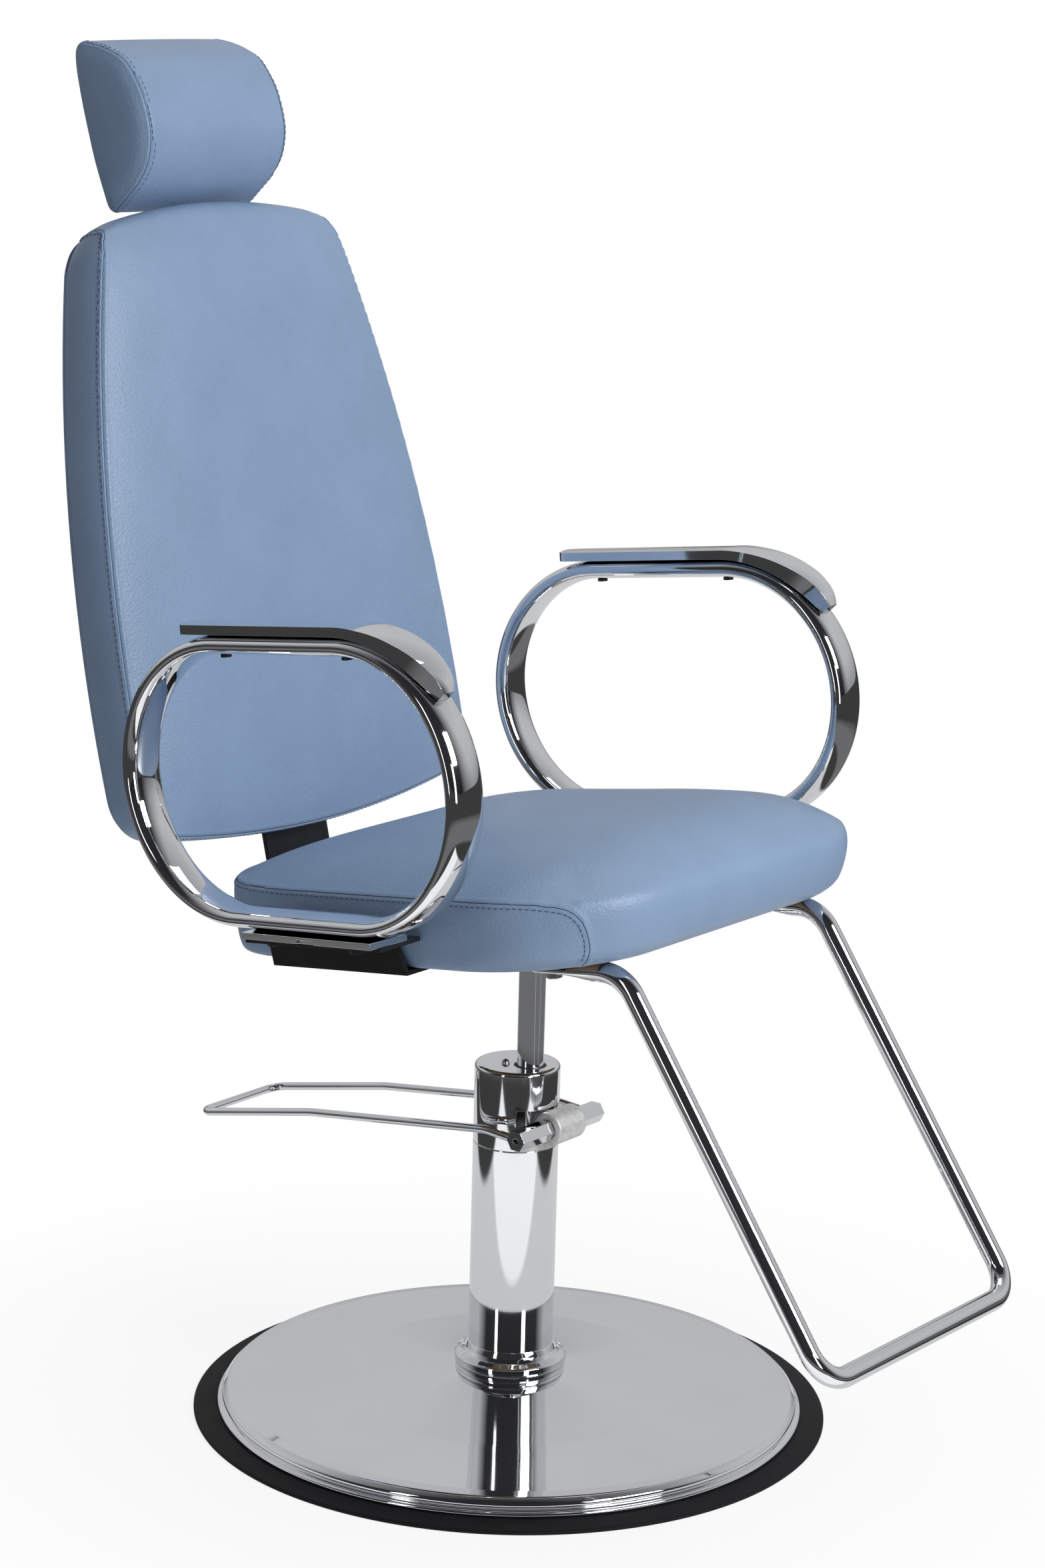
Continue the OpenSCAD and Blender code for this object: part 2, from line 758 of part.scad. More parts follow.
module socket_screws() {
    color(zinc) for (a = [60, 120]) on_rod() translate([0, 0, socket_z + 12]) rotate([0, 90, a])
        translate([0, 0, rod_d / 2 + 0.3]) {
            cylinder(d = screw_d, h = socket_d / 2 - rod_d / 2);
            translate([0, 0, socket_d / 2 - rod_d / 2]) cylinder(d = 9, h = 5);
        }
}

module cross_bar(y, length) {
    translate([-length / 2, y - cross_w / 2, -frame_t]) cube([length, cross_w, frame_t]);
}

module seat_frame() {
    color(black_steel) on_seat() difference() {
        union() {
            for (x = [-1, 1]) translate([x * frame_rail_x - frame_rail_w / 2, -cross_y, -frame_t])
                cube([frame_rail_w, cross_y + frame_rear, frame_t]);
            cross_bar(-cross_y, 2 * foot_half + 44);
            cross_bar(frame_rear - cross_w / 2, 2 * frame_rail_x + frame_rail_w);
        }
        frame_bolt_places() translate([0, 0, -frame_t - past])
            cylinder(d = bolt_d + bolt_fit, h = frame_t + 2 * past);
        for (x = [-1, 1]) translate([x * foot_half, -cross_y, -frame_t - past])
            cylinder(d = bolt_d + bolt_fit, h = frame_t + 2 * past);
        back_frame_bolt_places() cylinder(d = bolt_d + bolt_fit, h = back_bar_t + frame_t + past);
    }
}

module frame_bolts() {
    color(zinc) on_seat() frame_bolt_places() translate([0, 0, -frame_t - socket_t])
        hex_bolt(bolt_d, frame_t + socket_t + 10);
}

// Plan outline of the seat, drawn in from its edge by inset and from its front edge by front_inset
module seat_outline(inset, front_inset) {
    front_r = max(seat_front_r - inset, seat_least_r);
    rear_r = max(seat_rear_r - inset, seat_least_r);
    hull() for (x = [-1, 1]) {
        translate([x * (seat_w / 2 - inset - front_r), -seat_front + front_inset + front_r])
            circle(r = front_r);
        translate([x * (seat_w / 2 - inset - rear_r), seat_rear - inset - rear_r]) circle(r = rear_r);
    }
}

module seat_board() {
    color(plywood) on_seat() difference() {
        linear_extrude(board_t) seat_outline(board_inset, board_front_inset);
        frame_bolt_places() translate([0, 0, -past]) cylinder(d = bolt_d + bolt_fit, h = 11.5 + past);
        for (x = [-1, 1]) {
            translate([x * foot_half, -cross_y, -past]) cylinder(d = bolt_d + bolt_fit, h = 11.5 + past);
            bracket_bolt_places(x) cylinder(d = screw_d + bolt_fit, h = bracket_t + 11.5);
        }
        back_frame_bolt_places() cylinder(d = bolt_d + bolt_fit, h = back_bar_t + frame_t + 11.5);
    }
}

// Slices of the seat cushion: height, how far its sides and its front are drawn in, and its share of the fall
function seat_slices() = [
    [0, seat_tuck, seat_front_tuck, 0], [seat_tuck_h * 0.4, seat_tuck_mid, seat_front_tuck_mid, 0],
    [seat_tuck_h, 0.5, 4, 0], [seat_side_h * 0.75, 0, 0, 0], [seat_side_h, 3, 3, 0],
    for (s = [[0.45, 0.192], [0.82, 0.496], [1, 1]])
        [seat_side_h + (seat_crown_h - seat_side_h) * s[0], seat_crown_inset * s[1],
         seat_crown_inset * s[1], s[0]]
];

// Lets a slice fall towards the rear by a share of the crown's fall
module rear_fall(share) {
    slope = seat_crown_fall * share / (seat_front + seat_rear);
    multmatrix([[1, 0, 0, 0], [0, 1, 0, 0], [0, -slope, 1, -slope * seat_front], [0, 0, 0, 1]]) children();
}

module seat_cushion() {
    color(vinyl) on_seat() difference() {
        hull() for (s = seat_slices()) rear_fall(s[3]) translate([0, 0, s[0]])
            linear_extrude(0.1) seat_outline(s[1], s[2]);
        translate([0, 0, -past]) linear_extrude(board_t + loose_fit + past)
            seat_outline(board_inset - loose_fit, board_front_inset - loose_fit);
    }
}

// ---- Armrests ----

// Folded bracket: one flange under the seat board, a slanted web beside the seat, one flange under the arm
module arm_bracket(side) {
    outer_flange = arm_half + arm_tube_w / 2 - web_x - 4;
    front = bracket_y - bracket_len / 2;
    rear = bracket_y + bracket_len / 2;
    color(black_steel) difference() {
        on_seat() mirror([side < 0 ? 1 : 0, 0, 0]) translate([web_x, 0, 0]) {
            translate([-52, front, -bracket_t]) cube([52 + bracket_t, bracket_len, bracket_t]);
            rotate([90, 0, 90]) linear_extrude(bracket_t)
                polygon([
                    [front, -bracket_t], [rear, -bracket_t], [rear + 6, arm_flange_z], [front + 13, arm_flange_z]
                ]);
            translate([0, arm_y + arm_plate_y - arm_plate_len / 2, arm_flange_z - bracket_t])
                cube([outer_flange, arm_plate_len, bracket_t]);
        }
        on_seat() bracket_bolt_places(side) translate([0, 0, -past])
            cylinder(d = screw_d + bolt_fit, h = bracket_t + 2 * past);
        on_arm(side) arm_bolt_places() cylinder(d = bolt_d + bolt_fit, h = 2 * bracket_t);
    }
}

// Where the heads of the bolts under the seat board bear on the bracket
module bracket_bolt_places(side) {
    for (y = [-1, 1])
        translate([side * bracket_bolt_x, bracket_y + y * bracket_bolt_y, -bracket_t]) children();
}

// Where the heads of the bolts under the arm bear on the bracket
module arm_bolt_places() {
    for (y = [-1, 1])
        translate([0, -6 + y * arm_bolt_y, arm_flange_z - bracket_t - arm_z]) children();
}

module arm_plate(side) {
    plate_w = arm_tube_w + 6;
    notch_l = 20;
    color(chrome) on_arm(side) translate([0, arm_plate_y, 0]) difference() {
        translate([-plate_w / 2, -arm_plate_len / 2, -arm_r - arm_tube_t / 2 - arm_plate_t])
            cube([plate_w, arm_plate_len, arm_plate_t]);
        translate([side * plate_w / 2 - 2, -notch_l / 2, -arm_r - arm_tube_t / 2 - arm_plate_t - past])
            cube([4, notch_l, arm_plate_t * 0.6 + past]);
        translate([0, -arm_plate_y, 0])
        arm_bolt_places() cylinder(d = bolt_d + bolt_fit, h = 3 * arm_plate_t);
    }
}

module loop_tube(w, t) {
    for (end = [0, 1]) rotate(end * 180) {
        translate([0, arm_straight / 2, 0]) rotate([0, 90, 0])
            rotate_extrude(angle = 180, $fn = 96) translate([arm_r, 0]) rotate(90) flat_oval(w, t);
        translate([0, arm_straight / 2, end == 0 ? arm_r : -arm_r]) rotate([90, 0, 0])
            linear_extrude(arm_straight) flat_oval(w, t);
    }
}

module arm_loop(side) {
    color(chrome) on_arm(side) difference() {
        loop_tube(arm_tube_w, arm_tube_t);
        loop_tube(arm_tube_w - 2 * arm_wall, arm_tube_t - 2 * arm_wall);
        for (y = [-1, 1]) translate([0, y * arm_straight / 2, arm_r - arm_tube_t])
            cylinder(d = screw_d + bolt_fit, h = 2 * arm_tube_t);
        arm_bolt_places() cylinder(d = bolt_d + bolt_fit, h = bracket_t + arm_plate_t + arm_tube_t / 2);
    }
}

// Cross-section slice of the cap over the loop's front bend
module cap_slice(angle, w, t) {
    translate([0, -arm_straight / 2, 0]) rotate([angle, 0, 0])
        translate([-w / 2, -0.1, arm_r + arm_tube_t / 2 + 0.1]) cube([w, 0.1, t]);
}

module arm_cap(side) {
    corner = 12;
    base = arm_r + arm_tube_t / 2 + 0.1;
    slices = [[0, cap_w, cap_t], [14, cap_w, cap_t + 1], [28, cap_w * 0.9, cap_t + 4],
        [40, cap_w * 0.72, cap_t + 7], [nose_angle, cap_w * 0.45, cap_t + 5]];
    color(chrome) on_arm(side) difference() {
        union() {
            hull() {
                for (x = [-1, 1]) translate([x * (cap_w / 2 - corner), cap_rear - corner, base])
                    cylinder(r = corner, h = cap_t, $fn = 32);
                cap_slice(0, cap_w, cap_t);
            }
            for (i = [0 : len(slices) - 2]) hull() {
                cap_slice(slices[i][0], slices[i][1], slices[i][2]);
                cap_slice(slices[i + 1][0], slices[i + 1][1], slices[i + 1][2]);
            }
        }
        translate([0, -arm_straight / 2, 0]) rotate([0, 90, 0])
            cylinder(r = base + 0.15, h = 2 * cap_w, center = true, $fn = 180);
        for (y = [-1, 1]) translate([0, y * arm_straight / 2, base - past])
            cylinder(d = screw_d, h = 7 + past);
    }
}

module cap_screws() {
    inner = arm_r - arm_tube_t / 2;
    color(black_steel) for (side = [-1, 1], y = [-1, 1]) on_arm(side)
        translate([0, y * arm_straight / 2, inner - loose_fit])
            pan_screw(screw_d - bolt_fit, arm_tube_t + 6, 10, 3);
}

module bracket_bolts() {
    color(black_steel) on_seat() for (side = [-1, 1]) bracket_bolt_places(side)
        hex_bolt(screw_d, bracket_t + 10, af = 10, head = 4);
}

module arm_bolts() {
    color(black_steel) for (side = [-1, 1]) on_arm(side) arm_bolt_places()
        hex_bolt(bolt_d, bracket_t + arm_plate_t + 8);
}

// ---- Back ----

function seat_point(y, z) = [
    y * cos(seat_tilt) + z * sin(seat_tilt),
    seat_z - y * sin(seat_tilt) + z * cos(seat_tilt)
];
function back_point(y, z) = [
    back_y + y * cos(back_recline) + z * sin(back_recline),
    back_z - y * sin(back_recline) + z * cos(back_recline)
];
// Where the line from p along u meets the line from q along w
function meet(p, u, q, w) = p + u * ((q - p).x * w.y - (q - p).y * w.x) / (u.x * w.y - u.y * w.x);

// Flat bar bent once: it runs from p to the corner c and on to q, all on its middle line
module bent_flat(p, c, q, t, r) {
    u = dir(p, c);
    w = dir(c, q);
    turn = acos(u * w);
    left = [-u.y, u.x];
    n = [-w.y, w.x];
    mid = c - u * r * tan(turn / 2) + left * r;
    start = atan2(-left.y, -left.x);
    steps = 8;
    arc = [for (i = [0 : steps]) [cos(start + turn * i / steps), sin(start + turn * i / steps)]];
    polygon(concat(
        [p - left * t / 2],
        [for (i = [0 : steps]) mid + (r + t / 2) * arc[i]],
        [q - n * t / 2, q + n * t / 2],
        [for (i = [steps : -1 : 0]) mid + (r - t / 2) * arc[i]],
        [p + left * t / 2]
    ));
}

// Where the heads of the bolts through the bracket and the seat frame bear on the bracket
module back_frame_bolt_places() {
    for (x = [-1, 1])
        translate([x * back_bar_w / 4, frame_rear - cross_w / 2, -frame_t - back_bar_t]) children();
}

module back_bar_bolt_places() {
    for (x = [-1, 1], z = back_bolt_heights) translate([x * back_bar_w / 4, bar_front + back_bar_t, z])
        rotate([90, 0, 0]) children();
}

module back_bracket() {
    under = -frame_t - back_bar_t / 2;
    flat_start = seat_point(frame_rear - cross_w, under);
    flat_dir = seat_point(frame_rear, under) - flat_start;
    top = back_point(bar_front + back_bar_t / 2, back_bar_top);
    top_dir = back_point(bar_front + back_bar_t / 2, 0) - top;
    corner = meet(flat_start, flat_dir, top, top_dir);
    color(black_steel) difference() {
        translate([-back_bar_w / 2, 0, 0]) rotate([90, 0, 90]) linear_extrude(back_bar_w)
            bent_flat(flat_start, corner, top, back_bar_t, 16);
        on_seat() back_frame_bolt_places() translate([0, 0, -past])
            cylinder(d = bolt_d + bolt_fit, h = back_bar_t + 2 * past);
        on_back() back_bar_bolt_places() translate([0, 0, -past])
            cylinder(d = screw_d + bolt_fit, h = back_bar_t + 2 * past);
    }
}

module back_bolts() {
    color(zinc) {
        on_back() back_bar_bolt_places() pan_screw(screw_d, back_bar_t + 9, 11, 3);
        on_seat() back_frame_bolt_places() hex_bolt(bolt_d, back_bar_t + frame_t + 10);
    }
}

// Outline of the backrest, drawn in from its edge by inset: wide and low-cornered below, rounded above
module back_outline(inset, top_inset = 0) {
    top_r = 740;
    bottom_r = 1190;
    offset(r = back_corner) offset(delta = -back_corner - inset) intersection() {
        translate([back_side_r - back_half_w, back_wide_at]) circle(r = back_side_r, $fn = 360);
        translate([back_half_w - back_side_r, back_wide_at]) circle(r = back_side_r, $fn = 360);
        translate([0, back_h - top_r - top_inset]) circle(r = top_r, $fn = 180);
        translate([0, bottom_r - back_drop]) circle(r = bottom_r, $fn = 360);
    }
}

module back_slab(from, to, inset, top_inset = 0) {
    rotate([90, 0, 0]) translate([0, 0, -to]) linear_extrude(to - from) back_outline(inset, top_inset);
}

module back_board() {
    color(plywood) on_back() difference() {
        back_slab(back_foam + loose_fit, bar_front, rim_wall + loose_fit, back_top_fall);
        back_bar_bolt_places() cylinder(d = screw_d + bolt_fit, h = back_bar_t + 9.5);
        guide_screw_places() cylinder(d = 3.6, h = 11.5);
    }
}

module back_cushion() {
    color(vinyl) on_back() difference() {
        hull() {
            back_slab(-back_crown, -back_crown + 0.1, 75);
            back_slab(-back_crown * 0.75, -back_crown * 0.75 + 0.1, 34);
            back_slab(-2, -1.9, 8, 6);
            back_slab(4, 4.1, 1, 5);
            back_slab(12, 22, 0);
            back_slab(panel_front - 3, panel_front - 2.9, 0.8, back_top_fall - 2);
            back_slab(panel_front - 0.1, panel_front, 2, back_top_fall);
        }
        back_slab(back_foam, panel_front + past, rim_wall, back_top_fall);
        translate([-back_bar_w / 2 - loose_fit, bar_front - loose_fit, -60])
            cube([back_bar_w + 2 * loose_fit, back_depth, 60 + 2 * rim_wall]);
        translate([-head_bar_w / 2 - 2, head_bar_mid - head_bar_t / 2 - 1, back_h - 2 * rim_wall])
            cube([head_bar_w + 4, head_bar_t + 2, 3 * rim_wall]);
    }
}

module back_panel() {
    color(vinyl) on_back() hull() {
        back_slab(panel_front, panel_front + 1, 2, back_top_fall);
        back_slab(back_depth - 1, back_depth, 5, back_top_fall + 2);
    }
}

// ---- Headrest ----

module guide_screw_places() {
    for (x = [-1, 1], z = [12, guide_len - 12])
        translate([x * 29, bar_front + 1.5, guide_low + z]) rotate([90, 0, 0]) children();
}

module guide_hole(w, t, h) {
    translate([-w / 2, head_bar_mid - t / 2, guide_low - (h - guide_len) / 2]) cube([w, t, h]);
}

module headrest_guide() {
    slot_t = head_bar_t + 1.8;
    color(black_steel) on_back() difference() {
        union() {
            translate([-37, bar_front, guide_low]) cube([74, 1.5, guide_len]);
            translate([-head_bar_w / 2 - 4, bar_front, guide_low])
                cube([head_bar_w + 8, head_bar_mid + slot_t / 2 + 1.5 - bar_front, guide_len]);
        }
        guide_hole(head_bar_w + 3, slot_t, guide_len + 2 * past);
        guide_screw_places() cylinder(d = 3.8, h = 8, center = true);
    }
}

module guide_liner() {
    color(nylon) on_back() difference() {
        guide_hole(head_bar_w + 2.9, head_bar_t + 1.7, guide_len);
        guide_hole(head_bar_w + 0.2, head_bar_t + 0.16, guide_len + 2 * past);
    }
}

module guide_screws() {
    color(zinc) on_back() guide_screw_places() pan_screw(3.5, 11, 7, 2);
}

module headrest_bar() {
    color(chrome) on_back() difference() {
        translate([-head_bar_w / 2, head_bar_mid - head_bar_t / 2, head_low - head_bar_below])
            cube([head_bar_w, head_bar_t, head_bar_end - head_low + head_bar_below]);
        head_screw_places() cylinder(d = 5.2, h = 40, center = true);
    }
}

module head_screw_places() {
    for (z = head_screw_heights) translate([0, head_bar_mid - head_bar_t / 2, head_board_low + z])
        rotate([-90, 0, 0]) children();
}

module headrest_board() {
    board_y = head_bar_mid + head_bar_t / 2;
    color(plywood) on_back() difference() {
        translate([-head_board_w / 2, board_y, head_board_low])
            cube([head_board_w, head_board_t, head_board_h]);
        head_screw_places() cylinder(d = 5.2, h = 40, center = true);
    }
}

module headrest_screws() {
    color(zinc) on_back() head_screw_places() pan_screw(5, head_bar_t + 7, 9, 2.5);
}

// Side view of the headrest: a round front, a straight rear face and a lip at each end of it
module head_profile(inset) {
    brow_back = 4;
    brow_drop = 61;
    chin_up = 58;
    crown_back = 38;
    crown_drop = 26;
    offset(delta = -inset) hull() {
        translate([head_front + head_chin_r, head_low + chin_up]) circle(r = head_chin_r, $fn = 40);
        translate([head_front + head_brow_r + brow_back, head_low + head_h - brow_drop])
            circle(r = head_brow_r, $fn = 40);
        translate([head_front + head_crown_r + crown_back, head_low + head_h - crown_drop])
            circle(r = head_crown_r, $fn = 32);
        translate([head_rear - 18, head_low + head_edge_r]) circle(r = head_edge_r, $fn = 16);
        translate([head_rear - 9, head_low + head_h - head_lip_r]) circle(r = head_lip_r, $fn = 16);
        for (z = [0.5, 0.84]) translate([head_rear - head_lip_r, head_low + head_h * z])
            circle(r = head_lip_r, $fn = 16);
    }
}

// Slices across the headrest: place as a share of the half width, and how far each is drawn in
head_slices = [[-0.985, 14], [-0.95, 4], [-0.905, 0], [0.905, 0], [0.95, 4], [0.985, 14]];

module headrest_cushion() {
    board_y = head_bar_mid + head_bar_t / 2;
    color(vinyl) on_back() difference() {
        hull() for (s = head_slices) translate([s[0] * head_w / 2, 0, 0]) rotate([90, 0, 90])
            linear_extrude(2, center = true) head_profile(s[1]);
        translate([-head_board_w / 2 - loose_fit, board_y - loose_fit, head_board_low - loose_fit])
            cube([head_board_w, head_board_t, head_board_h] + 2 * loose_fit * [1, 1, 1]);
        translate([-head_bar_w / 2 - loose_fit, head_bar_mid - head_bar_t / 2 - 3, head_low - 20])
            cube([head_bar_w + 2 * loose_fit, head_bar_t + 3.3, head_bar_end - head_low + 20 + loose_fit]);
    }
}

// ---- Footrest ----

module foot_tube(d) {
    right = [
        [foot_half, -foot_tube_y, foot_axis_z],
        [foot_half, -foot_bend_y, foot_axis_z],
        [foot_half, -foot_bottom_y, foot_bottom_z]
    ];
    left = [for (i = [2 : -1 : 0]) [-right[i].x, right[i].y, right[i].z]];
    bends = [0, foot_bend_r, foot_corner_r, foot_corner_r, foot_bend_r, 0];
    bent_bar(bent_path(concat(right, left), bends), d, 20);
}

module footrest_frame() {
    tab = cross_w / 2 + 2;
    color(chrome) on_seat() difference() {
        union() {
            difference() {
                foot_tube(foot_d);
                foot_tube(foot_d - 2 * foot_wall);
            }
            for (x = [-1, 1]) {
                translate([x * foot_half - foot_flat_w / 2, -foot_neck_y, foot_axis_z - foot_flat_t / 2])
                    cube([foot_flat_w, foot_neck_y - cross_y + tab, foot_flat_t]);
                hull() {
                    translate([x * foot_half - foot_flat_w / 2, -foot_neck_y, foot_axis_z - foot_flat_t / 2])
                        cube([foot_flat_w, 0.5, foot_flat_t]);
                    translate([x * foot_half, -foot_tube_y + 0.1, foot_axis_z]) rotate([90, 0, 0])
                        cylinder(d = foot_d, h = 0.1, $fn = 32);
                }
            }
        }
        for (x = [-1, 1]) {
            translate([x * foot_half, -cross_y, foot_axis_z - foot_d])
                cylinder(d = bolt_d + bolt_fit, h = 2 * foot_d);
            translate([x * foot_half / 2, -foot_bottom_y, foot_bottom_z - foot_d])
                cylinder(d = 3, h = foot_d);
        }
    }
}

module footrest_bolts() {
    color(zinc) on_seat() for (x = [-1, 1])
        translate([x * foot_half, -cross_y, foot_axis_z - foot_flat_t / 2])
            hex_bolt(bolt_d, foot_flat_t + frame_t + 10);
}

floor_ring();
base_plate();
base_cover();
lower_collar();
upper_collar();
outer_cylinder();
column_flange();
column_plug();
column_bolts();
column_cap();
rod_bush();
rod_wiper();
cap_screw();
pressure_cylinder();
pump_block();
pump_lug();
shaft_bushes();
plunger_spring();
pedal_bar();
bar_hub();
pedal_crank();
pedal_loop();
pump_plunger();
piston_head();
piston_seal();
piston_rod();
seat_socket();
socket_screws();
seat_frame();
frame_bolts();
seat_board();
seat_cushion();
arm_bracket(1);  // arm_bracket_left
arm_bracket(-1);  // arm_bracket_right
arm_plate(1);  // arm_plate_left
arm_plate(-1);  // arm_plate_right
arm_loop(1);  // arm_loop_left
arm_loop(-1);  // arm_loop_right
arm_cap(1);  // arm_cap_left
arm_cap(-1);  // arm_cap_right
cap_screws();
bracket_bolts();
arm_bolts();
back_bracket();
back_bolts();
back_board();
back_cushion();
back_panel();
headrest_guide();
guide_liner();
guide_screws();
footrest_frame();
footrest_bolts();
headrest_bar();
headrest_board();
headrest_cushion();
headrest_screws();
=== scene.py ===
"""Looks of the hydraulic barber chair: remodelled metal, upholstery, materials, stage, lamps and camera.

Every piece is built once, at the chair's rest pose, and rides on the CAD body of the node that it stands for.
"""

import json
import math
from contextlib import contextmanager

import bmesh
import bpy
import numpy as np
from mathutils import Matrix, Vector
from mathutils.bvhtree import BVHTree
from mathutils.kdtree import KDTree

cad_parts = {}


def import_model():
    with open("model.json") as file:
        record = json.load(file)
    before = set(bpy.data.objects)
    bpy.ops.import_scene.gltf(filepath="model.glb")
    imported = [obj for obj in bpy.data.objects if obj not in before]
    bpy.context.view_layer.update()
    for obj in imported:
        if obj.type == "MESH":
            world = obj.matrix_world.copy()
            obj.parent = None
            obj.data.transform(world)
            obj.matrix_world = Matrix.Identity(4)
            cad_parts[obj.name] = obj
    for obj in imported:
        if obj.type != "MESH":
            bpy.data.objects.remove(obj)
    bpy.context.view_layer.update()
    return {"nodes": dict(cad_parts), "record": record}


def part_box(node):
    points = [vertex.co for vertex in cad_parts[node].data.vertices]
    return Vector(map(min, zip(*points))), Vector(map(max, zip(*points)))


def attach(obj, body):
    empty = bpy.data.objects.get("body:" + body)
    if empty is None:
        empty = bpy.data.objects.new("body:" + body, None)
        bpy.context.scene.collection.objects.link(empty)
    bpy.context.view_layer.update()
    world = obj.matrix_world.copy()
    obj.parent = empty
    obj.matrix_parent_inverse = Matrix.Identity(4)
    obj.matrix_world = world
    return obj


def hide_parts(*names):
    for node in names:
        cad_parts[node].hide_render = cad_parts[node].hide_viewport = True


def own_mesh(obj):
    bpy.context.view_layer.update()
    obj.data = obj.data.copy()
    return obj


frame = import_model()
NODES = frame["nodes"]
SLOTS = {item["node"]: item["material_slot"] for item in frame["record"]["subparts"]}
BODIES = {node: body for body, nodes in frame["record"]["behaviour"]["bodies"].items() for node in nodes}

# Local shapes are written in millimetres, in the same local frames as the CAD source
MM = 0.001
ROOT = Matrix.Identity(4)
# The seat's frame lies on the seat's underside, and the back's frame on its front face
SEAT = Matrix.Translation((0, 0, 0.4946)) @ Matrix.Rotation(math.radians(-7.4), 4, "X")
BACK = Matrix.Translation((0, 0.2493, 0.551)) @ Matrix.Rotation(math.radians(-13.8), 4, "X")
# Radius of the column, and how far the rod stands off its axis
COLUMN_R = 41
ROD_OFFSET = 15
# Radius of the arm loop's ends, half its straight stretch, and the width and thickness of its section
LOOP_R = 124
LOOP_HALF = 74.5
LOOP_WIDE = 42
LOOP_THICK = 19
# Half the seat's width, and its reach to the front and to the rear
SEAT_HALF = 245
SEAT_FRONT = 270
SEAT_REAR = 194


def arm_place(side):
    """Frame of the middle of an arm loop, which toes out a little."""
    turn = Matrix.Rotation(math.radians(3 * side), 4, "Z")
    return SEAT @ Matrix.Translation((0.285 * side, 0.0136, 0.1714)) @ turn


# ---------------------------------------------------------------- materials


class Shader:
    """The nodes of a material or world. Inputs are given as numbers, colours or outputs of other nodes."""

    def __init__(self, owner):
        owner.use_nodes = True
        self.nodes = owner.node_tree.nodes
        self.links = owner.node_tree.links

    def feed(self, node, inputs):
        for key, value in inputs.items():
            if isinstance(value, bpy.types.NodeSocket):
                self.links.new(value, node.inputs[key])
            else:
                node.inputs[key].default_value = value
        return node

    def add(self, kind, inputs=(), **values):
        node = self.nodes.new("ShaderNode" + kind)
        for key, value in values.items():
            setattr(node, key, value)
        return self.feed(node, dict(inputs))

    def math(self, operation, *inputs):
        return self.add("Math", enumerate(inputs), operation=operation).outputs[0]

    def along(self, place, direction):
        """How far a place lies along a direction."""
        return self.add("VectorMath", {0: place, 1: direction}, operation="DOT_PRODUCT").outputs["Value"]

    def step(self, value, low, high):
        """0 at low and 1 at high, and even in between."""
        return self.add("MapRange", {"Value": value, "From Min": low, "From Max": high}).outputs["Result"]

    def ramp(self, place, first, last):
        """Colours between two (position, colour) stops."""
        node = self.add("ValToRGB", {"Fac": place})
        for stop, (position, colour) in zip(node.color_ramp.elements, (first, last)):
            stop.position = position
            stop.color = (*colour, 1)
        return node


# Materials by name
LOOKS = {}
# Texture node and its output, for each kind of grain
GRAINS = {"noise": ("TexNoise", "Fac"), "cells": ("TexVoronoi", "Distance")}


def material(name, colour, rough, spots, spot_size, rough_play, metal=0.0, grain=(), shine=0.5):
    """Adds a look whose colour drifts by spots and its roughness by rough_play.

    Each layer of grain is a bump: (kind, scale, strength, depth in metres).
    """
    mat = bpy.data.materials.new(name)
    net = Shader(mat)
    place = net.add("TexCoord").outputs["Object"]
    drift = net.add(
        "TexNoise", {"Vector": place, "Scale": spot_size, "Detail": 4.0, "Roughness": 0.55}
    ).outputs["Fac"]
    dark = [c * (1 - spots) for c in colour]
    light = [min(1.0, c * (1 + spots)) for c in colour]
    gloss = net.add("MapRange", {
        "Value": drift, "To Min": max(0.0, rough - rough_play), "To Max": min(1.0, rough + rough_play),
    })
    skin = {
        "Base Color": net.ramp(drift, (0.3, dark), (0.7, light)).outputs["Color"],
        "Roughness": gloss.outputs["Result"],
        "Metallic": metal,
        "Specular IOR Level": shine,
    }
    for kind, scale, strength, depth in grain:
        texture, output = GRAINS[kind]
        height = net.add(texture, {"Vector": place, "Scale": scale}).outputs[output]
        below = {"Normal": skin["Normal"]} if "Normal" in skin else {}
        bump = net.add("Bump", {"Strength": strength, "Distance": depth, "Height": height, **below})
        skin["Normal"] = bump.outputs["Normal"]
    net.feed(net.nodes["Principled BSDF"], skin)
    LOOKS[name] = mat


material("chrome", (0.80, 0.81, 0.83), 0.045, metal=1.0, spots=0.02, spot_size=9, rough_play=0.02)
material(
    "cast_metal", (0.74, 0.74, 0.74), 0.5, metal=0.55, spots=0.12, spot_size=220, rough_play=0.12,
    grain=[("noise", 900.0, 0.6, 0.0004), ("noise", 260.0, 0.35, 0.0006)],
)
material(
    "black_steel", (0.012, 0.012, 0.014), 0.34, spots=0.15, spot_size=40, rough_play=0.06,
    grain=[("noise", 420.0, 0.12, 0.0002)],
)
material(
    "rubber", (0.008, 0.008, 0.010), 0.6, spots=0.2, spot_size=30, rough_play=0.08, shine=0.2,
    grain=[("noise", 700.0, 0.15, 0.0002)],
)
material("seal_rubber", (0.02, 0.02, 0.021), 0.5, spots=0.2, spot_size=80, rough_play=0.1)
material(
    "vinyl", (0.246, 0.354, 0.530), 0.40, spots=0.04, spot_size=14, rough_play=0.05,
    grain=[
        ("noise", 60.0, 0.14, 0.0010), ("cells", 480.0, 0.42, 0.0006), ("cells", 900.0, 0.25, 0.0004),
        ("noise", 1500.0, 0.15, 0.0003),
    ],
)
# Dark thread colour for the stitches, also used for the seam cords, which are painted shade
material("thread_and_seam_shade", (0.05, 0.09, 0.17), 0.7, spots=0.2, spot_size=500, rough_play=0.1)
material(
    "plywood", (0.20, 0.13, 0.07), 0.65, spots=0.18, spot_size=24, rough_play=0.1,
    grain=[("noise", 300.0, 0.3, 0.0003)],
)
material("bronze", (0.58, 0.38, 0.17), 0.28, metal=1.0, spots=0.1, spot_size=120, rough_play=0.08)
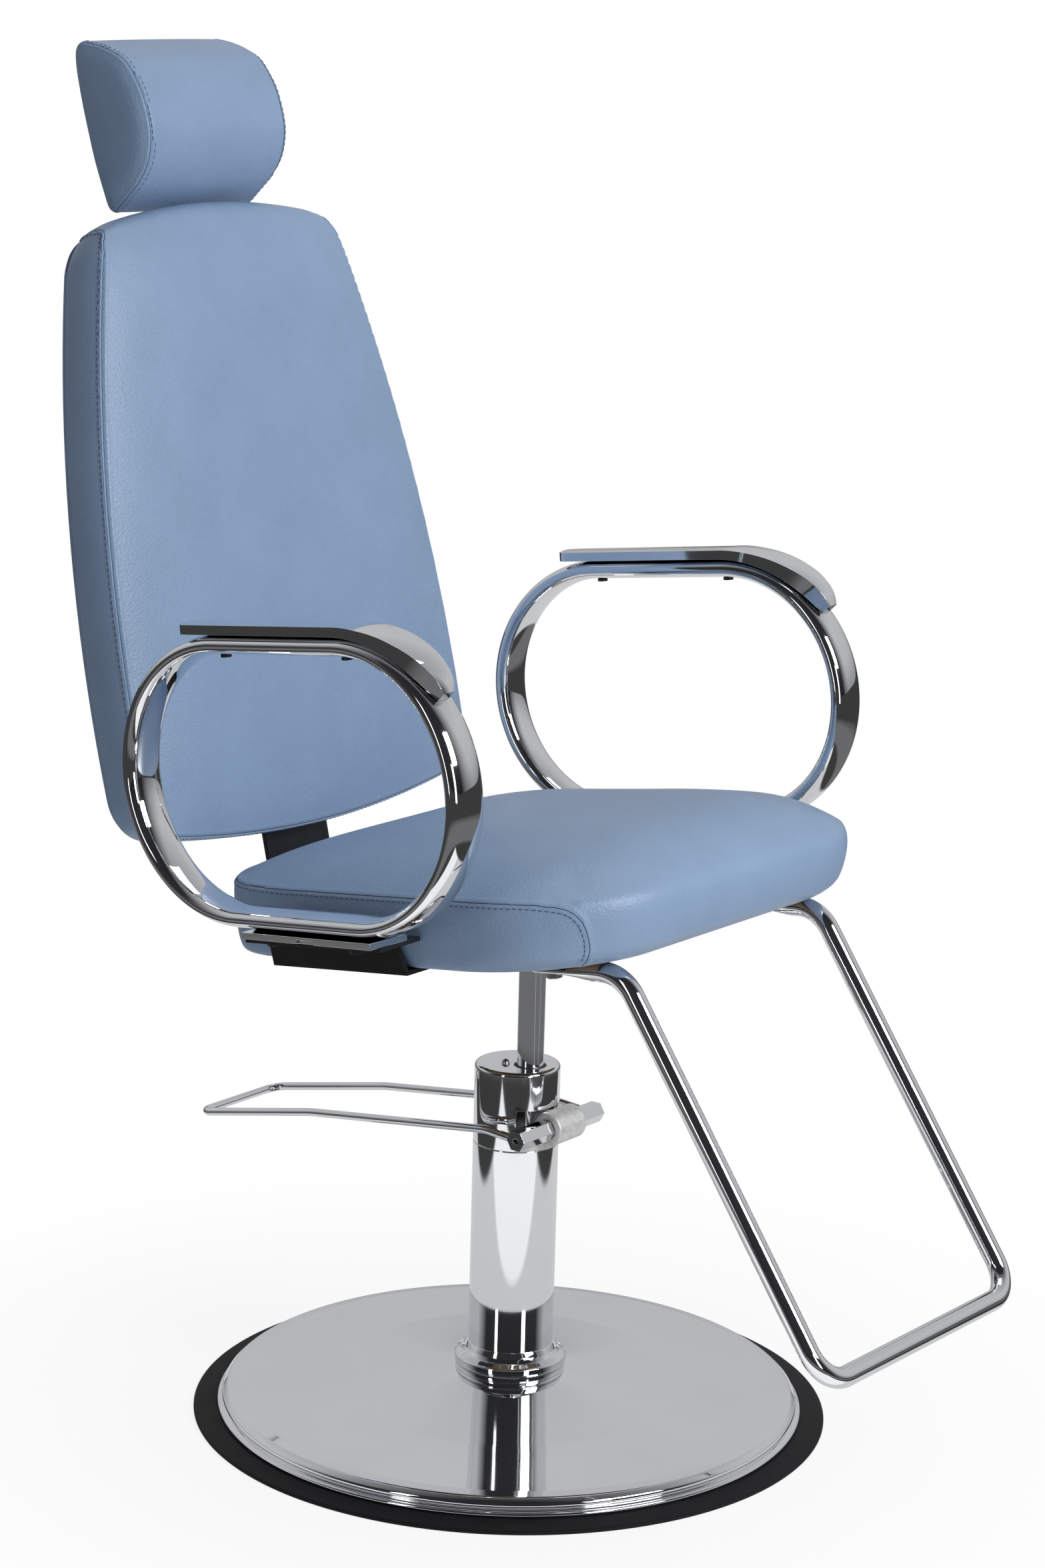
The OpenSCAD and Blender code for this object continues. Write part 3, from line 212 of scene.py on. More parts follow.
material("nylon", (0.72, 0.71, 0.66), 0.42, spots=0.05, spot_size=120, rough_play=0.06)
material("zinc_steel", (0.56, 0.57, 0.58), 0.3, metal=1.0, spots=0.1, spot_size=150, rough_play=0.08)


def paint(obj, look):
    obj.data.materials.clear()
    obj.data.materials.append(LOOKS[look])


# ---------------------------------------------------------------- mesh helpers


def shade(obj, angle=38):
    obj.data.shade_smooth()
    obj.data.set_sharp_from_angle(angle=math.radians(angle))


def bake(obj):
    """Makes the object's modifiers part of its mesh."""
    bpy.context.view_layer.update()
    graph = bpy.context.evaluated_depsgraph_get()
    mesh = bpy.data.meshes.new_from_object(obj.evaluated_get(graph))
    obj.modifiers.clear()
    obj.data = mesh


def modify(obj, kind, **values):
    """Runs one modifier on the object's mesh."""
    mod = obj.modifiers.new(kind.lower(), kind)
    for key, value in values.items():
        setattr(mod, key, value)
    bake(obj)


@contextmanager
def edited(obj):
    """The object's mesh as a bmesh, which is written back afterwards."""
    bm = bmesh.new()
    bm.from_mesh(obj.data)
    yield bm
    bm.to_mesh(obj.data)
    bm.free()
    obj.data.update()


def clean(obj, merge=1e-6):
    """Joins double points and turns all faces outwards."""
    with edited(obj) as bm:
        bmesh.ops.remove_doubles(bm, verts=bm.verts, dist=merge)
        bmesh.ops.dissolve_degenerate(bm, edges=bm.edges, dist=merge)
        bmesh.ops.recalc_face_normals(bm, faces=bm.faces)


def new_piece(name, mesh):
    obj = bpy.data.objects.new(name, mesh)
    bpy.context.collection.objects.link(obj)
    return obj


def new_mesh(name, points, faces, place=ROOT):
    """Piece from points in millimetres of a local frame."""
    mesh = bpy.data.meshes.new(name)
    mesh.from_pydata([tuple(c * MM for c in p) for p in points], [], faces)
    mesh.transform(place)
    obj = new_piece(name, mesh)
    clean(obj)
    return obj


def put(obj, body, slot, look=None):
    """Paints a piece and ties it to a CAD body."""
    paint(obj, look or slot)
    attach(obj, body)


def stand_in(obj, node):
    """Lets a piece take a CAD node's place, on the node's body and in its material."""
    put(obj, BODIES[node], SLOTS[node])
    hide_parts(node)


def round_edges(obj, width, steps, angle):
    modify(
        obj, "BEVEL", width=width * MM, segments=steps, limit_method="ANGLE",
        angle_limit=math.radians(angle), use_clamp_overlap=True, miter_outer="MITER_ARC",
    )
    shade(obj, 50)
    modify(obj, "WEIGHTED_NORMAL", keep_sharp=True, weight=80)


def soften(node, width, steps=2, angle=32):
    """Stands in for a CAD node with a copy of its mesh whose hard edges are rounded."""
    obj = new_piece(node + "_body", NODES[node].data.copy())
    with edited(obj) as bm:
        bmesh.ops.remove_doubles(bm, verts=bm.verts, dist=2e-6)
        bmesh.ops.dissolve_limit(
            bm, angle_limit=math.radians(0.6), verts=bm.verts, edges=bm.edges, use_dissolve_boundaries=False
        )
    round_edges(obj, width, steps, angle)
    stand_in(obj, node)


def rounded(points, radii, steps=6, closed=True):
    """The points of a path or polygon, with an arc of the given radius at each corner."""
    out = []
    for i, (p, radius) in enumerate(zip(points, radii)):
        a = points[i - 1] - p
        b = points[(i + 1) % len(points)] - p
        at_end = not closed and i in (0, len(points) - 1)
        if radius <= 0 or at_end or a.angle(b) > math.radians(179.5):
            out.append(p.copy())
            continue
        bend = a.angle(b)
        cut = min(radius / math.tan(bend / 2), a.length * 0.495, b.length * 0.495)
        radius = cut * math.tan(bend / 2)
        middle = p + (a.normalized() + b.normalized()).normalized() * (radius / math.sin(bend / 2))
        start = p + a.normalized() * cut - middle
        end = p + b.normalized() * cut - middle
        turn = math.pi - bend
        for k in range(steps + 1):
            s = k / steps
            arc = (start * math.sin((1 - s) * turn) + end * math.sin(s * turn)) / math.sin(turn)
            out.append(middle + arc)
    return out


def flat(points):
    return [Vector(p) for p in points]


def edge_loops(profile, long=5.0, near_end=0.3):
    """The profile with a point close to each end of its long stretches, so that these shade flat."""
    out = []
    for a, b in zip(profile, profile[1:] + profile[:1]):
        out.append(a)
        length = (b - a).length
        if length > long:
            out += [a.lerp(b, near_end / length), b.lerp(a, near_end / length)]
    return out


def lathe(name, profile, place=ROOT, steps=192):
    """Closed half profile of (radius, height), turned round the vertical axis."""
    profile = edge_loops(profile)
    points = []
    faces = []
    n = len(profile)
    for k in range(steps):
        turn = math.tau * k / steps
        points += [(r * math.cos(turn), r * math.sin(turn), z) for r, z in profile]
    for k in range(steps):
        for i in range(n):
            j = (i + 1) % n
            m = (k + 1) % steps
            faces.append((k * n + i, m * n + i, m * n + j, k * n + j))
    obj = new_mesh(name, points, faces, place)
    shade(obj, 30)
    return obj


def sweep(name, path, section, place=ROOT, closed=False, side=(1, 0, 0)):
    """Tube along a path. section(i) gives the outline at the path's point i, as (sideways, upwards) pairs."""
    n = len(path)
    points = []
    across = Vector(side)
    for i, p in enumerate(path):
        before = path[i - 1] if closed or i else path[0]
        after = path[(i + 1) % n] if closed or i < n - 1 else path[-1]
        ahead = (after - before).normalized()
        across = (across - ahead * across.dot(ahead)).normalized()
        up = ahead.cross(across)
        points += [p + across * a + up * b for a, b in section(i)]
    m = len(section(0))
    faces = []
    for i in range(n if closed else n - 1):
        for k in range(m):
            a = i * m + k
            b = i * m + (k + 1) % m
            c = ((i + 1) % n) * m
            faces.append((a, b, c + (k + 1) % m, c + k))
    if not closed:
        faces.append(tuple(range(m - 1, -1, -1)))
        faces.append(tuple((n - 1) * m + k for k in range(m)))
    obj = new_mesh(name, points, faces, place)
    shade(obj)
    return obj


def oval(wide, thick, power=2.0, steps=56):
    """Full round: an ellipse, and squarer where power is above 2."""
    out = []
    for k in range(steps):
        c, d = math.cos(math.tau * k / steps), math.sin(math.tau * k / steps)
        x, y = (math.copysign(abs(share) ** (2 / power), share) for share in (c, d))
        out.append((x * wide / 2, y * thick / 2))
    return out


def circle(radius, steps):
    return oval(2 * radius, 2 * radius, steps=steps)


def even(path, step):
    """The path again, as points an even step apart."""
    out = [path[0].copy()]
    left = step
    for a, b in zip(path, path[1:]):
        length = (b - a).length
        at = left
        while at <= length:
            out.append(a.lerp(b, at / length))
            at += step
        left = at - length
    return out


# ---------------------------------------------------------------- upholstery


# Share of an outline's grid, from its middle, that the rounding of the corners leaves as it is
STILL = 0.3


def pull_corner(q, corners):
    """Moves a point of a sharp-cornered outline onto the arc of the corner it lies in."""
    for middle, radius, first, second in corners:
        d = q - middle
        if first.cross(d) > 0 and d.cross(second) > 0:
            return middle + d.normalized() * radius
    return q


def panel_rows(sharp, corners, nu, nv):
    """Grid of plan points over an outline with rounded corners, and for each its (u, v) place."""
    rows = []
    for j in range(nv + 1):
        row = []
        for i in range(nu + 1):
            u = -1 + 2 * i / nu
            v = -1 + 2 * j / nv
            m = max(abs(u), abs(v))
            p = sharp(u, v)
            if m > STILL:
                edge = sharp(u / m, v / m)
                p = p + (pull_corner(edge, corners) - edge) * ((m - STILL) / (1 - STILL)) ** 2.5
            row.append((p, u, v))
        rows.append(row)
    return rows


def closed_pad(name, shape, levels, top, bottom, nu, nv, place, lay):
    """Closed pad mesh: a crowned grid on top, rings down its side, and a flat grid below.

    shape(*insets) gives the outline drawn in by its insets; levels are (insets, height) down the side;
    lay(x, y, h) turns plan and height into the local frame.
    """
    top_insets, top_height = top
    bottom_insets, bottom_height = bottom
    points = []
    faces = []
    for row in panel_rows(*shape(*top_insets), nu, nv):
        for p, u, v in row:
            points.append(lay(p.x, p.y, top_height(u, v)))
    grid = {(j, i): j * (nu + 1) + i for j in range(nv + 1) for i in range(nu + 1)}
    cells = [(j, i) for j in range(nv) for i in range(nu)]
    for j, i in cells:
        faces.append((grid[j, i], grid[j, i + 1], grid[j + 1, i + 1], grid[j + 1, i]))
    rim = [(0, i) for i in range(nu)] + [(j, nu) for j in range(nv)]
    rim += [(nv, i) for i in range(nu, 0, -1)] + [(j, 0) for j in range(nv, 0, -1)]
    ring = [grid[key] for key in rim]
    count = len(ring)
    for insets, height in levels:
        sharp, corners = shape(*insets)
        new = []
        for j, i in rim:
            u = -1 + 2 * i / nu
            v = -1 + 2 * j / nv
            p = pull_corner(sharp(u, v), corners)
            new.append(len(points))
            points.append(lay(p.x, p.y, height(u, v)))
        for k in range(count):
            faces.append((ring[k], new[k], new[(k + 1) % count], ring[(k + 1) % count]))
        ring = new
    under = dict(zip(rim, ring))
    for j, row in enumerate(panel_rows(*shape(*bottom_insets), nu, nv)):
        for i, (p, _, _) in enumerate(row):
            if (j, i) not in under:
                under[j, i] = len(points)
                points.append(lay(p.x, p.y, bottom_height))
    for j, i in cells:
        faces.append((under[j, i], under[j + 1, i], under[j + 1, i + 1], under[j, i + 1]))
    return new_mesh(name, points, faces, place)


def crown(d, reach, power):
    """Share of a pad's full crown at distance d from its edge."""
    return 1 - (1 - min(max(d / reach, 0.0), 1.0)) ** power


def seat_shape(inset, front_inset):
    """Outline of the seat: a rectangle with large round corners, as a plain grid and its corners."""
    wide = SEAT_HALF - inset
    front = SEAT_FRONT - front_inset
    rear = SEAT_REAR - inset
    front_r = max(125 - inset, 20)
    rear_r = max(98 - inset, 20)

    def sharp(u, v):
        return Vector((u * wide, -front + (v + 1) / 2 * (front + rear)))

    corners = []
    for sx in (-1, 1):
        for y, r, sy in ((-front + front_r, front_r, -1), (rear - rear_r, rear_r, 1)):
            first, second = Vector((sx, 0)), Vector((0, sy))
            if sx * sy < 0:
                first, second = second, first
            corners.append((Vector((sx * (wide - r), y)), r, first, second))
    return sharp, corners


# The four arcs round the back: radius, and the place of the middle across and up from the back's foot
BACK_SIDE = (1530, 1291, 110)
BACK_TOP = (740, 0, -134)
BACK_FOOT = (1190, 0, 1182)
BACK_CORNER_R = 44


def back_shape(inset, top_inset=0.0, bulge=0.0, soft=0.0):
    """Outline of the back: two side arcs, a top and a bottom arc, and round corners."""
    side_r, side_away, side_up = BACK_SIDE
    side_r += bulge - inset
    top_r, top_at = BACK_TOP[0] - inset, BACK_TOP[2] - top_inset
    low_r, low_at = BACK_FOOT[0] - inset, BACK_FOOT[2]

    def sharp(u, v):
        """Place of a point of the grid, in a few rounds, as its width and height depend on each other."""
        t = 300.0
        x = 0.0
        for _ in range(8):
            x = u * (math.sqrt(side_r ** 2 - (t - side_up) ** 2) - side_away)
            low = low_at - math.sqrt(low_r ** 2 - x * x)
            high = top_at + math.sqrt(top_r ** 2 - x * x)
            t = low + (v + 1) / 2 * (high - low)
        return Vector((x, t))

    corners = []
    for right in (-1, 1):
        side = Vector((-side_away * right, side_up))
        for other, r, up in ((Vector((0, top_at)), top_r, 1), (Vector((0, low_at)), low_r, -1)):
            corner = BACK_CORNER_R + (soft if up > 0 else 0)
            crossings = cross_circles(side, side_r - corner, other, r - corner)
            middle = max((p for p in crossings if p.x * right > 0), key=lambda p: p.y * up)
            first, second = (middle - side).normalized(), (middle - other).normalized()
            if first.cross(second) < 0:
                first, second = second, first
            corners.append((middle, corner, first, second))
    return sharp, corners


def cross_circles(a, ra, b, rb):
    """Both crossing points of two circles."""
    d = (b - a).length
    along = (ra * ra - rb * rb + d * d) / (2 * d)
    off = math.sqrt(max(ra * ra - along * along, 0))
    u = (b - a) / d
    return [a + u * along + Vector((-u.y, u.x)) * s * off for s in (-1, 1)]


def spline(points, steps):
    """Smooth open curve through points."""
    out = []
    last = len(points) - 1
    for i in range(last):
        a, b, c, d = points[max(i - 1, 0)], points[i], points[i + 1], points[min(i + 2, last)]
        for k in range(steps):
            t = k / steps
            square = (2 * a - 5 * b + 4 * c - d) * t * t
            cube = (3 * b - a - 3 * c + d) * t ** 3
            out.append(0.5 * (2 * b + (c - a) * t + square + cube))
    out.append(points[-1].copy())
    return out


def spread(loop, count):
    """count points evenly round a closed path."""
    line = loop + [loop[0]]
    run = [0.0]
    for a, b in zip(line, line[1:]):
        run.append(run[-1] + (b - a).length)
    out = []
    j = 0
    for k in range(count):
        goal = run[-1] * k / count
        while j < len(run) - 2 and run[j + 1] < goal:
            j += 1
        length = run[j + 1] - run[j]
        out.append(line[j].lerp(line[j + 1], (goal - run[j]) / length if length else 0))
    return out


def head_outline():
    """Side profile of the headrest as (back, up) points: its rolled front, then its flatter rear."""
    front = spline(flat([
        (46.5, 604), (28, 614.5), (9.7, 625.5), (-7, 642), (-16, 662), (-18, 680), (-15.5, 705), (-10, 722),
        (0, 741), (14, 752.5), (30, 761.5), (50, 769.5),
    ]), 8)
    rear = spline(flat([
        (57, 769.5), (61.5, 764), (63.2, 755), (64.2, 742), (64, 712), (62.5, 682), (60, 650), (53, 606),
    ]), 6)
    lip_r = 1.5
    return rounded(front + rear, [0] * (len(front) + len(rear) - 1) + [lip_r], 3)


def head_pad():
    """Wrapped middle between two seams, closed by domed end panels."""
    seam_x = 95.0
    dome = 8.0
    count, columns, rings = 120, 28, 13
    ring = spread(head_outline(), count)
    centre = Vector((sum(p.x for p in ring) / count, sum(p.y for p in ring) / count))
    points = []
    faces = []

    following = [(k, (k + 1) % count) for k in range(count)]

    def add_ring(x, share):
        """Adds the profile's points at x, drawn in to a share, and returns their numbers."""
        for p in ring:
            q = centre + (p - centre) * share
            points.append((x, q.x, q.y))
        return range(len(points) - count, len(points))

    middle = []
    for i in range(columns + 1):
        x = -seam_x + 2 * seam_x * i / columns
        middle.append(add_ring(x, 1 + 0.008 * (1 - (x / seam_x) ** 4)))
    for first, second in zip(middle, middle[1:]):
        faces += [(first[k], second[k], second[m], first[m]) for k, m in following]
    for side, last in ((-1, middle[0]), (1, middle[-1])):
        for j in range(1, rings):
            share = 1 - (j / rings) ** 1.6
            new = add_ring(side * (seam_x + dome * (1 - share ** 8)), share)
            band = [(last[k], last[m], new[m], new[k]) for k, m in following]
            faces += [face[::-side] for face in band]
            last = new
        hub = len(points)
        points.append((side * (seam_x + dome), centre.x, centre.y))
        faces += [(last[k], last[m], hub)[::-side] for k, m in following]
    obj = new_mesh("headrest_pad", points, faces, BACK)
    seams = [[Vector((side * seam_x, p.x, p.y)) for p in ring + [ring[0]]] for side in (-1, 1)]
    return obj, seams


def point_tree(points):
    tree = KDTree(len(points))
    for i, p in enumerate(points):
        tree.insert(p, i)
    tree.balance()
    return tree


def near(obj, curves, reach, place):
    """Numbers of the points of a mesh that lie within reach (mm) of any of the curves."""
    tree = point_tree([place @ (p * MM) for curve in curves for p in even(curve, 2.0)])
    return {v.index for v in obj.data.vertices if tree.find(v.co)[2] < reach * MM}


# Length of the cloth simulation in frames
SWELL_FRAMES = 20
# Rounds of smoothing of the swell, so that buckles of the simulated cloth don't show
SWELL_ROUNDS = 14


def inflate(pads):
    """One cloth simulation swells all the pads. A pad is (piece, held points, furthest move in mm).

    Held points stay, and what the simulation would press inwards stays too.
    """
    scene = bpy.context.scene
    rest = []
    for obj, held, _ in pads:
        rest.append(np.array([v.co for v in obj.data.vertices]))
        obj.vertex_groups.new(name="held").add(held, 1.0, "REPLACE")
        mod = obj.modifiers.new("cloth", "CLOTH")
        cloth = mod.settings
        cloth.quality = 6
        cloth.mass = 0.3
        cloth.use_pressure = True
        cloth.uniform_pressure_force = 4
        cloth.vertex_group_mass = "held"
        cloth.effector_weights.gravity = 0
        mod.point_cache.frame_start = 1
        mod.point_cache.frame_end = SWELL_FRAMES
    for number in range(1, SWELL_FRAMES + 1):
        scene.frame_set(number)
    graph = bpy.context.evaluated_depsgraph_get()
    for (obj, held, limit), before in zip(pads, rest):
        after = np.array([v.co for v in obj.evaluated_get(graph).data.vertices])
        normals = np.array([v.normal for v in obj.data.vertices])
        swell = np.einsum("ij,ij->i", after - before, normals) / MM
        swell = np.clip(swell, 0.0, limit)
        edges = np.array([e.vertices for e in obj.data.edges])
        around = np.bincount(edges.ravel(), minlength=len(swell))
        for _ in range(SWELL_ROUNDS):
            total = np.bincount(edges[:, 0], swell[edges[:, 1]], len(swell))
            total += np.bincount(edges[:, 1], swell[edges[:, 0]], len(swell))
            swell = 0.5 * swell + 0.5 * total / around
            swell[held] = 0.0
        obj.modifiers.clear()
        obj.vertex_groups.clear()
        obj.data.vertices.foreach_set("co", (before + normals * swell[:, None] * MM).ravel())
        obj.data.update()
    scene.frame_set(1)


def relax(obj, held, rounds, chosen=lambda co: True):
    """Smooths a pad's points, apart from those held and those that chosen(place) leaves out."""
    with edited(obj) as bm:
        verts = [v for v in bm.verts if v.index not in held and chosen(v.co)]
        for _ in range(rounds):
            bmesh.ops.smooth_vert(
                bm, verts=verts, factor=0.5, use_axis_x=True, use_axis_y=True, use_axis_z=True
            )


def surface(obj):
    return BVHTree.FromPolygons([v.co for v in obj.data.vertices], [p.vertices for p in obj.data.polygons])


def refine(obj, tree, reach=8.0):
    """Cuts the faces within reach (mm) of the seams once more."""
    with edited(obj) as bm:
        edges = [e for e in bm.edges if min(tree.find(v.co)[2] for v in e.verts) < reach * MM]
        bmesh.ops.subdivide_edges(bm, edges=edges, cuts=1, use_grid_fill=True)


# A sideways direction that no seam runs along, to start the sweeps of the seams' painted-shade cords and
# welts with
SEAM_SWEEP_SIDE = (0.31, 0.52, 0.79)


def sew(obj, name, curves, body, offset, welt=0.0, depth=1.5):
    """Presses the seams in, and adds painted shade as a dark cord in each seam, a welt and a row of stitches
    beside it.

    In millimetres, offset is how far the stitches lie from the seam, and welt the radius of its lip.
    """
    tree = point_tree([p for curve in curves for p in curve])
    refine(obj, tree)
    co = np.array([v.co for v in obj.data.vertices])
    normals = np.array([v.normal for v in obj.data.vertices])
    for i, p in enumerate(co):
        d = tree.find(Vector(p))[2] / MM
        if d < 9:
            groove = depth * math.exp(-((d / 1.3) ** 2))
            ridge = 0.35 * depth * math.exp(-(((d - 3.4) / 2.0) ** 2))
            co[i] -= normals[i] * (groove - ridge) * MM
    obj.data.vertices.foreach_set("co", co.ravel())
    obj.data.update()
    skin = surface(obj)
    for number, curve in enumerate(curves):
        laid = [skin.find_nearest(p)[:2] for p in curve]
        line = [(p - n * 0.1 * MM) / MM for p, n in laid]
        # A dark cord laid in each seam's groove is painted shade, darker than the groove shades by itself
        thread_and_seam_shade = sweep(f"{name}_line_{number}", line, lambda i: circle(0.5, 6), side=SEAM_SWEEP_SIDE)
        put(thread_and_seam_shade, body, "vinyl", "thread_and_seam_shade")
        if welt:
            lip = []
            for i, (p, n) in enumerate(laid):
                ahead = (laid[min(i + 1, len(laid) - 1)][0] - laid[max(i - 1, 0)][0]).normalized()
                lip.append((p + ahead.cross(n) * welt * MM * 1.1 - n * 0.35 * MM) / MM)
            bead = sweep(f"{name}_welt_{number}", lip, lambda i: circle(welt, 10), side=SEAM_SWEEP_SIDE)
            put(bead, body, "vinyl")
    stitches(name + "_stitches", skin, curves, offset, body)


def stitches(name, skin, curves, offset, body, pitch=6.0, length=4.0, radius=0.45):
    """Rows of thread dashes that lie on the cover beside the seams."""
    points = []
    faces = []
    # Share of the length and of the radius along a stitch, and the points round it
    profile = [(-0.5, 0.25), (-0.42, 0.8), (0.0, 1.0), (0.42, 0.8), (0.5, 0.25)]
    round_it = 6
    for curve in curves:
        line = even([p / MM for p in curve], pitch)
        for k in range(1, len(line) - 1):
            ahead = (line[k + 1] - line[k - 1]).normalized()
            at, normal, _, _ = skin.find_nearest(line[k] * MM)
            across = ahead.cross(normal).normalized()
            at, normal, _, _ = skin.find_nearest(at + across * offset * MM)
            across = ahead.cross(normal).normalized()
            up = across.cross(ahead).normalized()
            start = len(points)
            for along, size in profile:
                middle = at / MM + ahead * along * length + normal * 0.12
                for s in range(round_it):
                    turn = math.tau * s / round_it
                    out = across * math.cos(turn) + up * math.sin(turn) * 0.8
                    points.append(middle + out * radius * size)
            for a in range(start, len(points) - round_it, round_it):
                for s in range(round_it):
                    t = (s + 1) % round_it
                    faces.append((a + s, a + t, a + round_it + t, a + round_it + s))
            faces.append(tuple(range(start + round_it - 1, start - 1, -1)))
            faces.append(tuple(range(len(points) - round_it, len(points))))
    obj = new_mesh(name, points, faces)
    shade(obj, 60)
    put(obj, body, "vinyl", "thread_and_seam_shade")


def seat_edge(v):
    """Height of the seat's upper edge, from its front (v = -1) to its rear."""
    return 64 + 2 * ((v + 1) / 2) ** 1.5


def seat_top(u, v):
    to_front = (1 - v) / 2
    length = SEAT_FRONT + SEAT_REAR
    reach = 227
    rise = crown((1 - abs(u)) * SEAT_HALF, reach, 4)
    rise *= min(crown((1 - to_front) * length, reach, 6), crown(to_front * length, reach, 5))
    return seat_edge(v) + (92 + 16 * to_front - seat_edge(v)) * rise


def seat_pad():
    """Seat cushion and its side seams, which turn down round the front corners."""
    # Down the side: (inset, front inset) and height; the front draws in further, as a roll
    levels = [((i, i), lambda u, v, s=s: seat_edge(v) * s) for i, s in ((1.2, 0.94), (0.3, 0.86))]
    levels += [((i, front), lambda u, v, h=h: h) for i, front, h in (
        (0, 0, 48), (0, 1, 40), (0.3, 4.6, 29), (0.8, 8.4, 19.5), (1.7, 14, 12), (3, 22, 6), (4.4, 29, 2.4),
        (6.5, 35.5, 0), (17.7, 51.7, 0), (17.7, 51.7, 15.2),
    )]
    obj = closed_pad(
        "seat_pad", seat_shape, levels, ((3.0, 3.0), seat_top), ((17.7, 51.7), 15.2), 76, 72, SEAT,
        lambda x, y, h: (x, y, h),
    )
    # From the middle of the rear edge round the right side to the underside of the front
    right = spline(flat([
        (0, 192.5, 66), (-80, 192.5, 66), (-147, 191.5, 66), (-195, 178.5, 66), (-229.5, 143.5, 66),
        (-242.5, 96, 66), (-243, 40, 65.6), (-243, -20, 65.2), (-243, -80, 65), (-243, -135, 64.6),
        (-241, -165, 64.4), (-234, -196, 63.5), (-226, -213, 61), (-217, -226, 56), (-210, -234, 46),
        (-206, -237, 33), (-201, -235, 18), (-196, -226, 7), (-192, -217, 1),
    ]), 10)
    return obj, [right, [Vector((-p.x, p.y, p.z)) for p in right]]


def back_pad():
    """Back cushion and the seam along its front edge. Its plan is (across, up), and height grows forwards."""
    half_wide, half_tall, reach = 239, 300, 110

    def top(u, v):
        across = crown(half_wide * (1 - abs(u)), reach, 3.0)
        return 12.0 * across * crown(half_tall * (1 - abs(v)), reach, 3.0)

    # Towards the rear: inset, top inset, bulge of the sides, softness of the top corners, and depth
    levels = [((i, top_inset, bulge, soft), lambda u, v, w=w: -w) for i, top_inset, bulge, soft, w in (
        (0.7, 5.4, 0.4, 0, 3.5), (0.0, 2.0, 1.2, 1, 8), (0.0, 0.3, 2.1, 3, 14), (0.0, 0.0, 2.9, 5, 21),
        (0.0, 1.0, 3.3, 8, 28), (0.0, 2.6, 3.2, 11, 35), (0.2, 4.6, 2.4, 14, 41.5), (0.8, 6.6, 1.2, 16, 46.5),
        (1.8, 8.6, 0.0, 16, 49.8), (3.6, 10.4, 0.0, 16, 50.8),
    )]
    front = (2.0, 8.0)
    obj = closed_pad(
        "back_pad", back_shape, levels, (front, top), ((14.0, 12.0), -50.8), 66, 88, BACK,
        lambda x, y, h: (x, -h, y),
    )
    sharp, corners = back_shape(*front)
    seam_end = 0.94
    rim = [pull_corner(sharp(-1, v), corners) for v in np.linspace(seam_end, -1, 90)]
    rim += [pull_corner(sharp(u, -1), corners) for u in np.linspace(-1, 1, 80)]
    rim += [pull_corner(sharp(1, v), corners) for v in np.linspace(-1, seam_end, 90)]
    seam = [Vector((p.x, 0.0, p.y)) for p in rim]
    # At the top corners the seam climbs onto the rolled edge and turns to the rear
    sharp, corners = back_shape(0.0, 1.0, 1.0)
    for side in (-1, 1):
        turn = []
        for u, v, w in (
            (1, 0.965, 0.8), (1, 0.985, 2), (1, 1, 4), (0.985, 1, 6.5), (0.972, 1, 10), (0.966, 1, 16),
            (0.964, 1, 24), (0.963, 1, 34), (0.963, 1, 46),
        ):
            p = pull_corner(sharp(side * u, v), corners)
            turn.append(Vector((p.x, w, p.y)))
        turn = spline(turn, 5)
        seam = turn[::-1] + seam if side < 0 else seam + turn
    return obj, [seam]


def cushions():
    seat, seat_seams = seat_pad()
    back, back_seams = back_pad()
    head, head_seams = head_pad()
    to_seat, to_back = SEAT.inverted(), BACK.inverted()

    # The seams hold the cover, and so do the seat's underside and the back's rear
    seat_held = near(seat, seat_seams, 4.0, SEAT)
    seat_held |= {v.index for v in seat.data.vertices if (to_seat @ v.co).z < 0.016}
    back_held = near(back, back_seams, 4.0, BACK)
    back_held |= {v.index for v in back.data.vertices if (to_back @ v.co).y > 0.044}
    head_held = near(head, head_seams, 3.0, BACK)
    inflate([(seat, sorted(seat_held), 3.5), (back, sorted(back_held), 3.5), (head, sorted(head_held), 3.0)])
    relax(seat, seat_held, 4)
    relax(back, back_held, 3)
    relax(head, head_held, 1)
    # The front of the seat and the top of the back are rolled over without a seam
    relax(seat, seat_held, 4, lambda co: (to_seat @ co).y < -0.20)
    relax(back, back_held, 3, lambda co: (to_back @ co).z > 0.565)

    for obj, name, seams, place, offset, welt in (
        (seat, "seat", seat_seams, SEAT, 4.5, 0.0),
        (back, "back", back_seams, BACK, 4.8, 1.3),
        (head, "headrest", head_seams, BACK, 4.5, 0.0),
    ):
        node = name + "_cushion"
        modify(obj, "SUBSURF", levels=1, render_levels=1)
        shade(obj, 180)
        curves = [[place @ (p * MM) for p in even(seam, 1.5)] for seam in seams]
        sew(obj, name, curves, BODIES[node], offset, welt)
        shade(obj, 180)
        stand_in(obj, node)
    soften("back_panel", 0.8)


# ---------------------------------------------------------------- base and column


def base_profile():
    """Cover's outer face: two rolled beads, a nearly flat disc, and a hollow flare up to the collar."""
    beads = rounded(
        flat([
            (281.6, 6.5), (283.2, 8.2), (282.6, 10.6), (276.9, 12.3), (276.9, 13.6), (278.7, 15.2),
            (277.9, 18.6), (273.2, 22.8), (262.0, 24.1),
        ]),
        [0, 1.6, 1.7, 0.8, 0.8, 1.8, 3.2, 4.5, 0], 6, closed=False,
    )
    disc_from, disc_to, disc_z, disc_rise = 262.0, 172.0, 24.1, 5.0
    flare_from, flare_to, flare_z, flare_rise = 170.0, 54.0, 29.3, 14.2
    disc = []
    for i in range(1, 19):
        t = i / 18
        disc.append(Vector((disc_from + (disc_to - disc_from) * t, disc_z + disc_rise * t ** 1.2)))
    flare = []
    for i in range(1, 41):
        t = i / 40
        height = flare_z + flare_rise * (0.78 * t + 0.22 * t ** 3)
        flare.append(Vector((flare_from + (flare_to - flare_from) * t, height)))
    return beads + disc + flare + [Vector((COLUMN_R + 0.3, 43.5))]


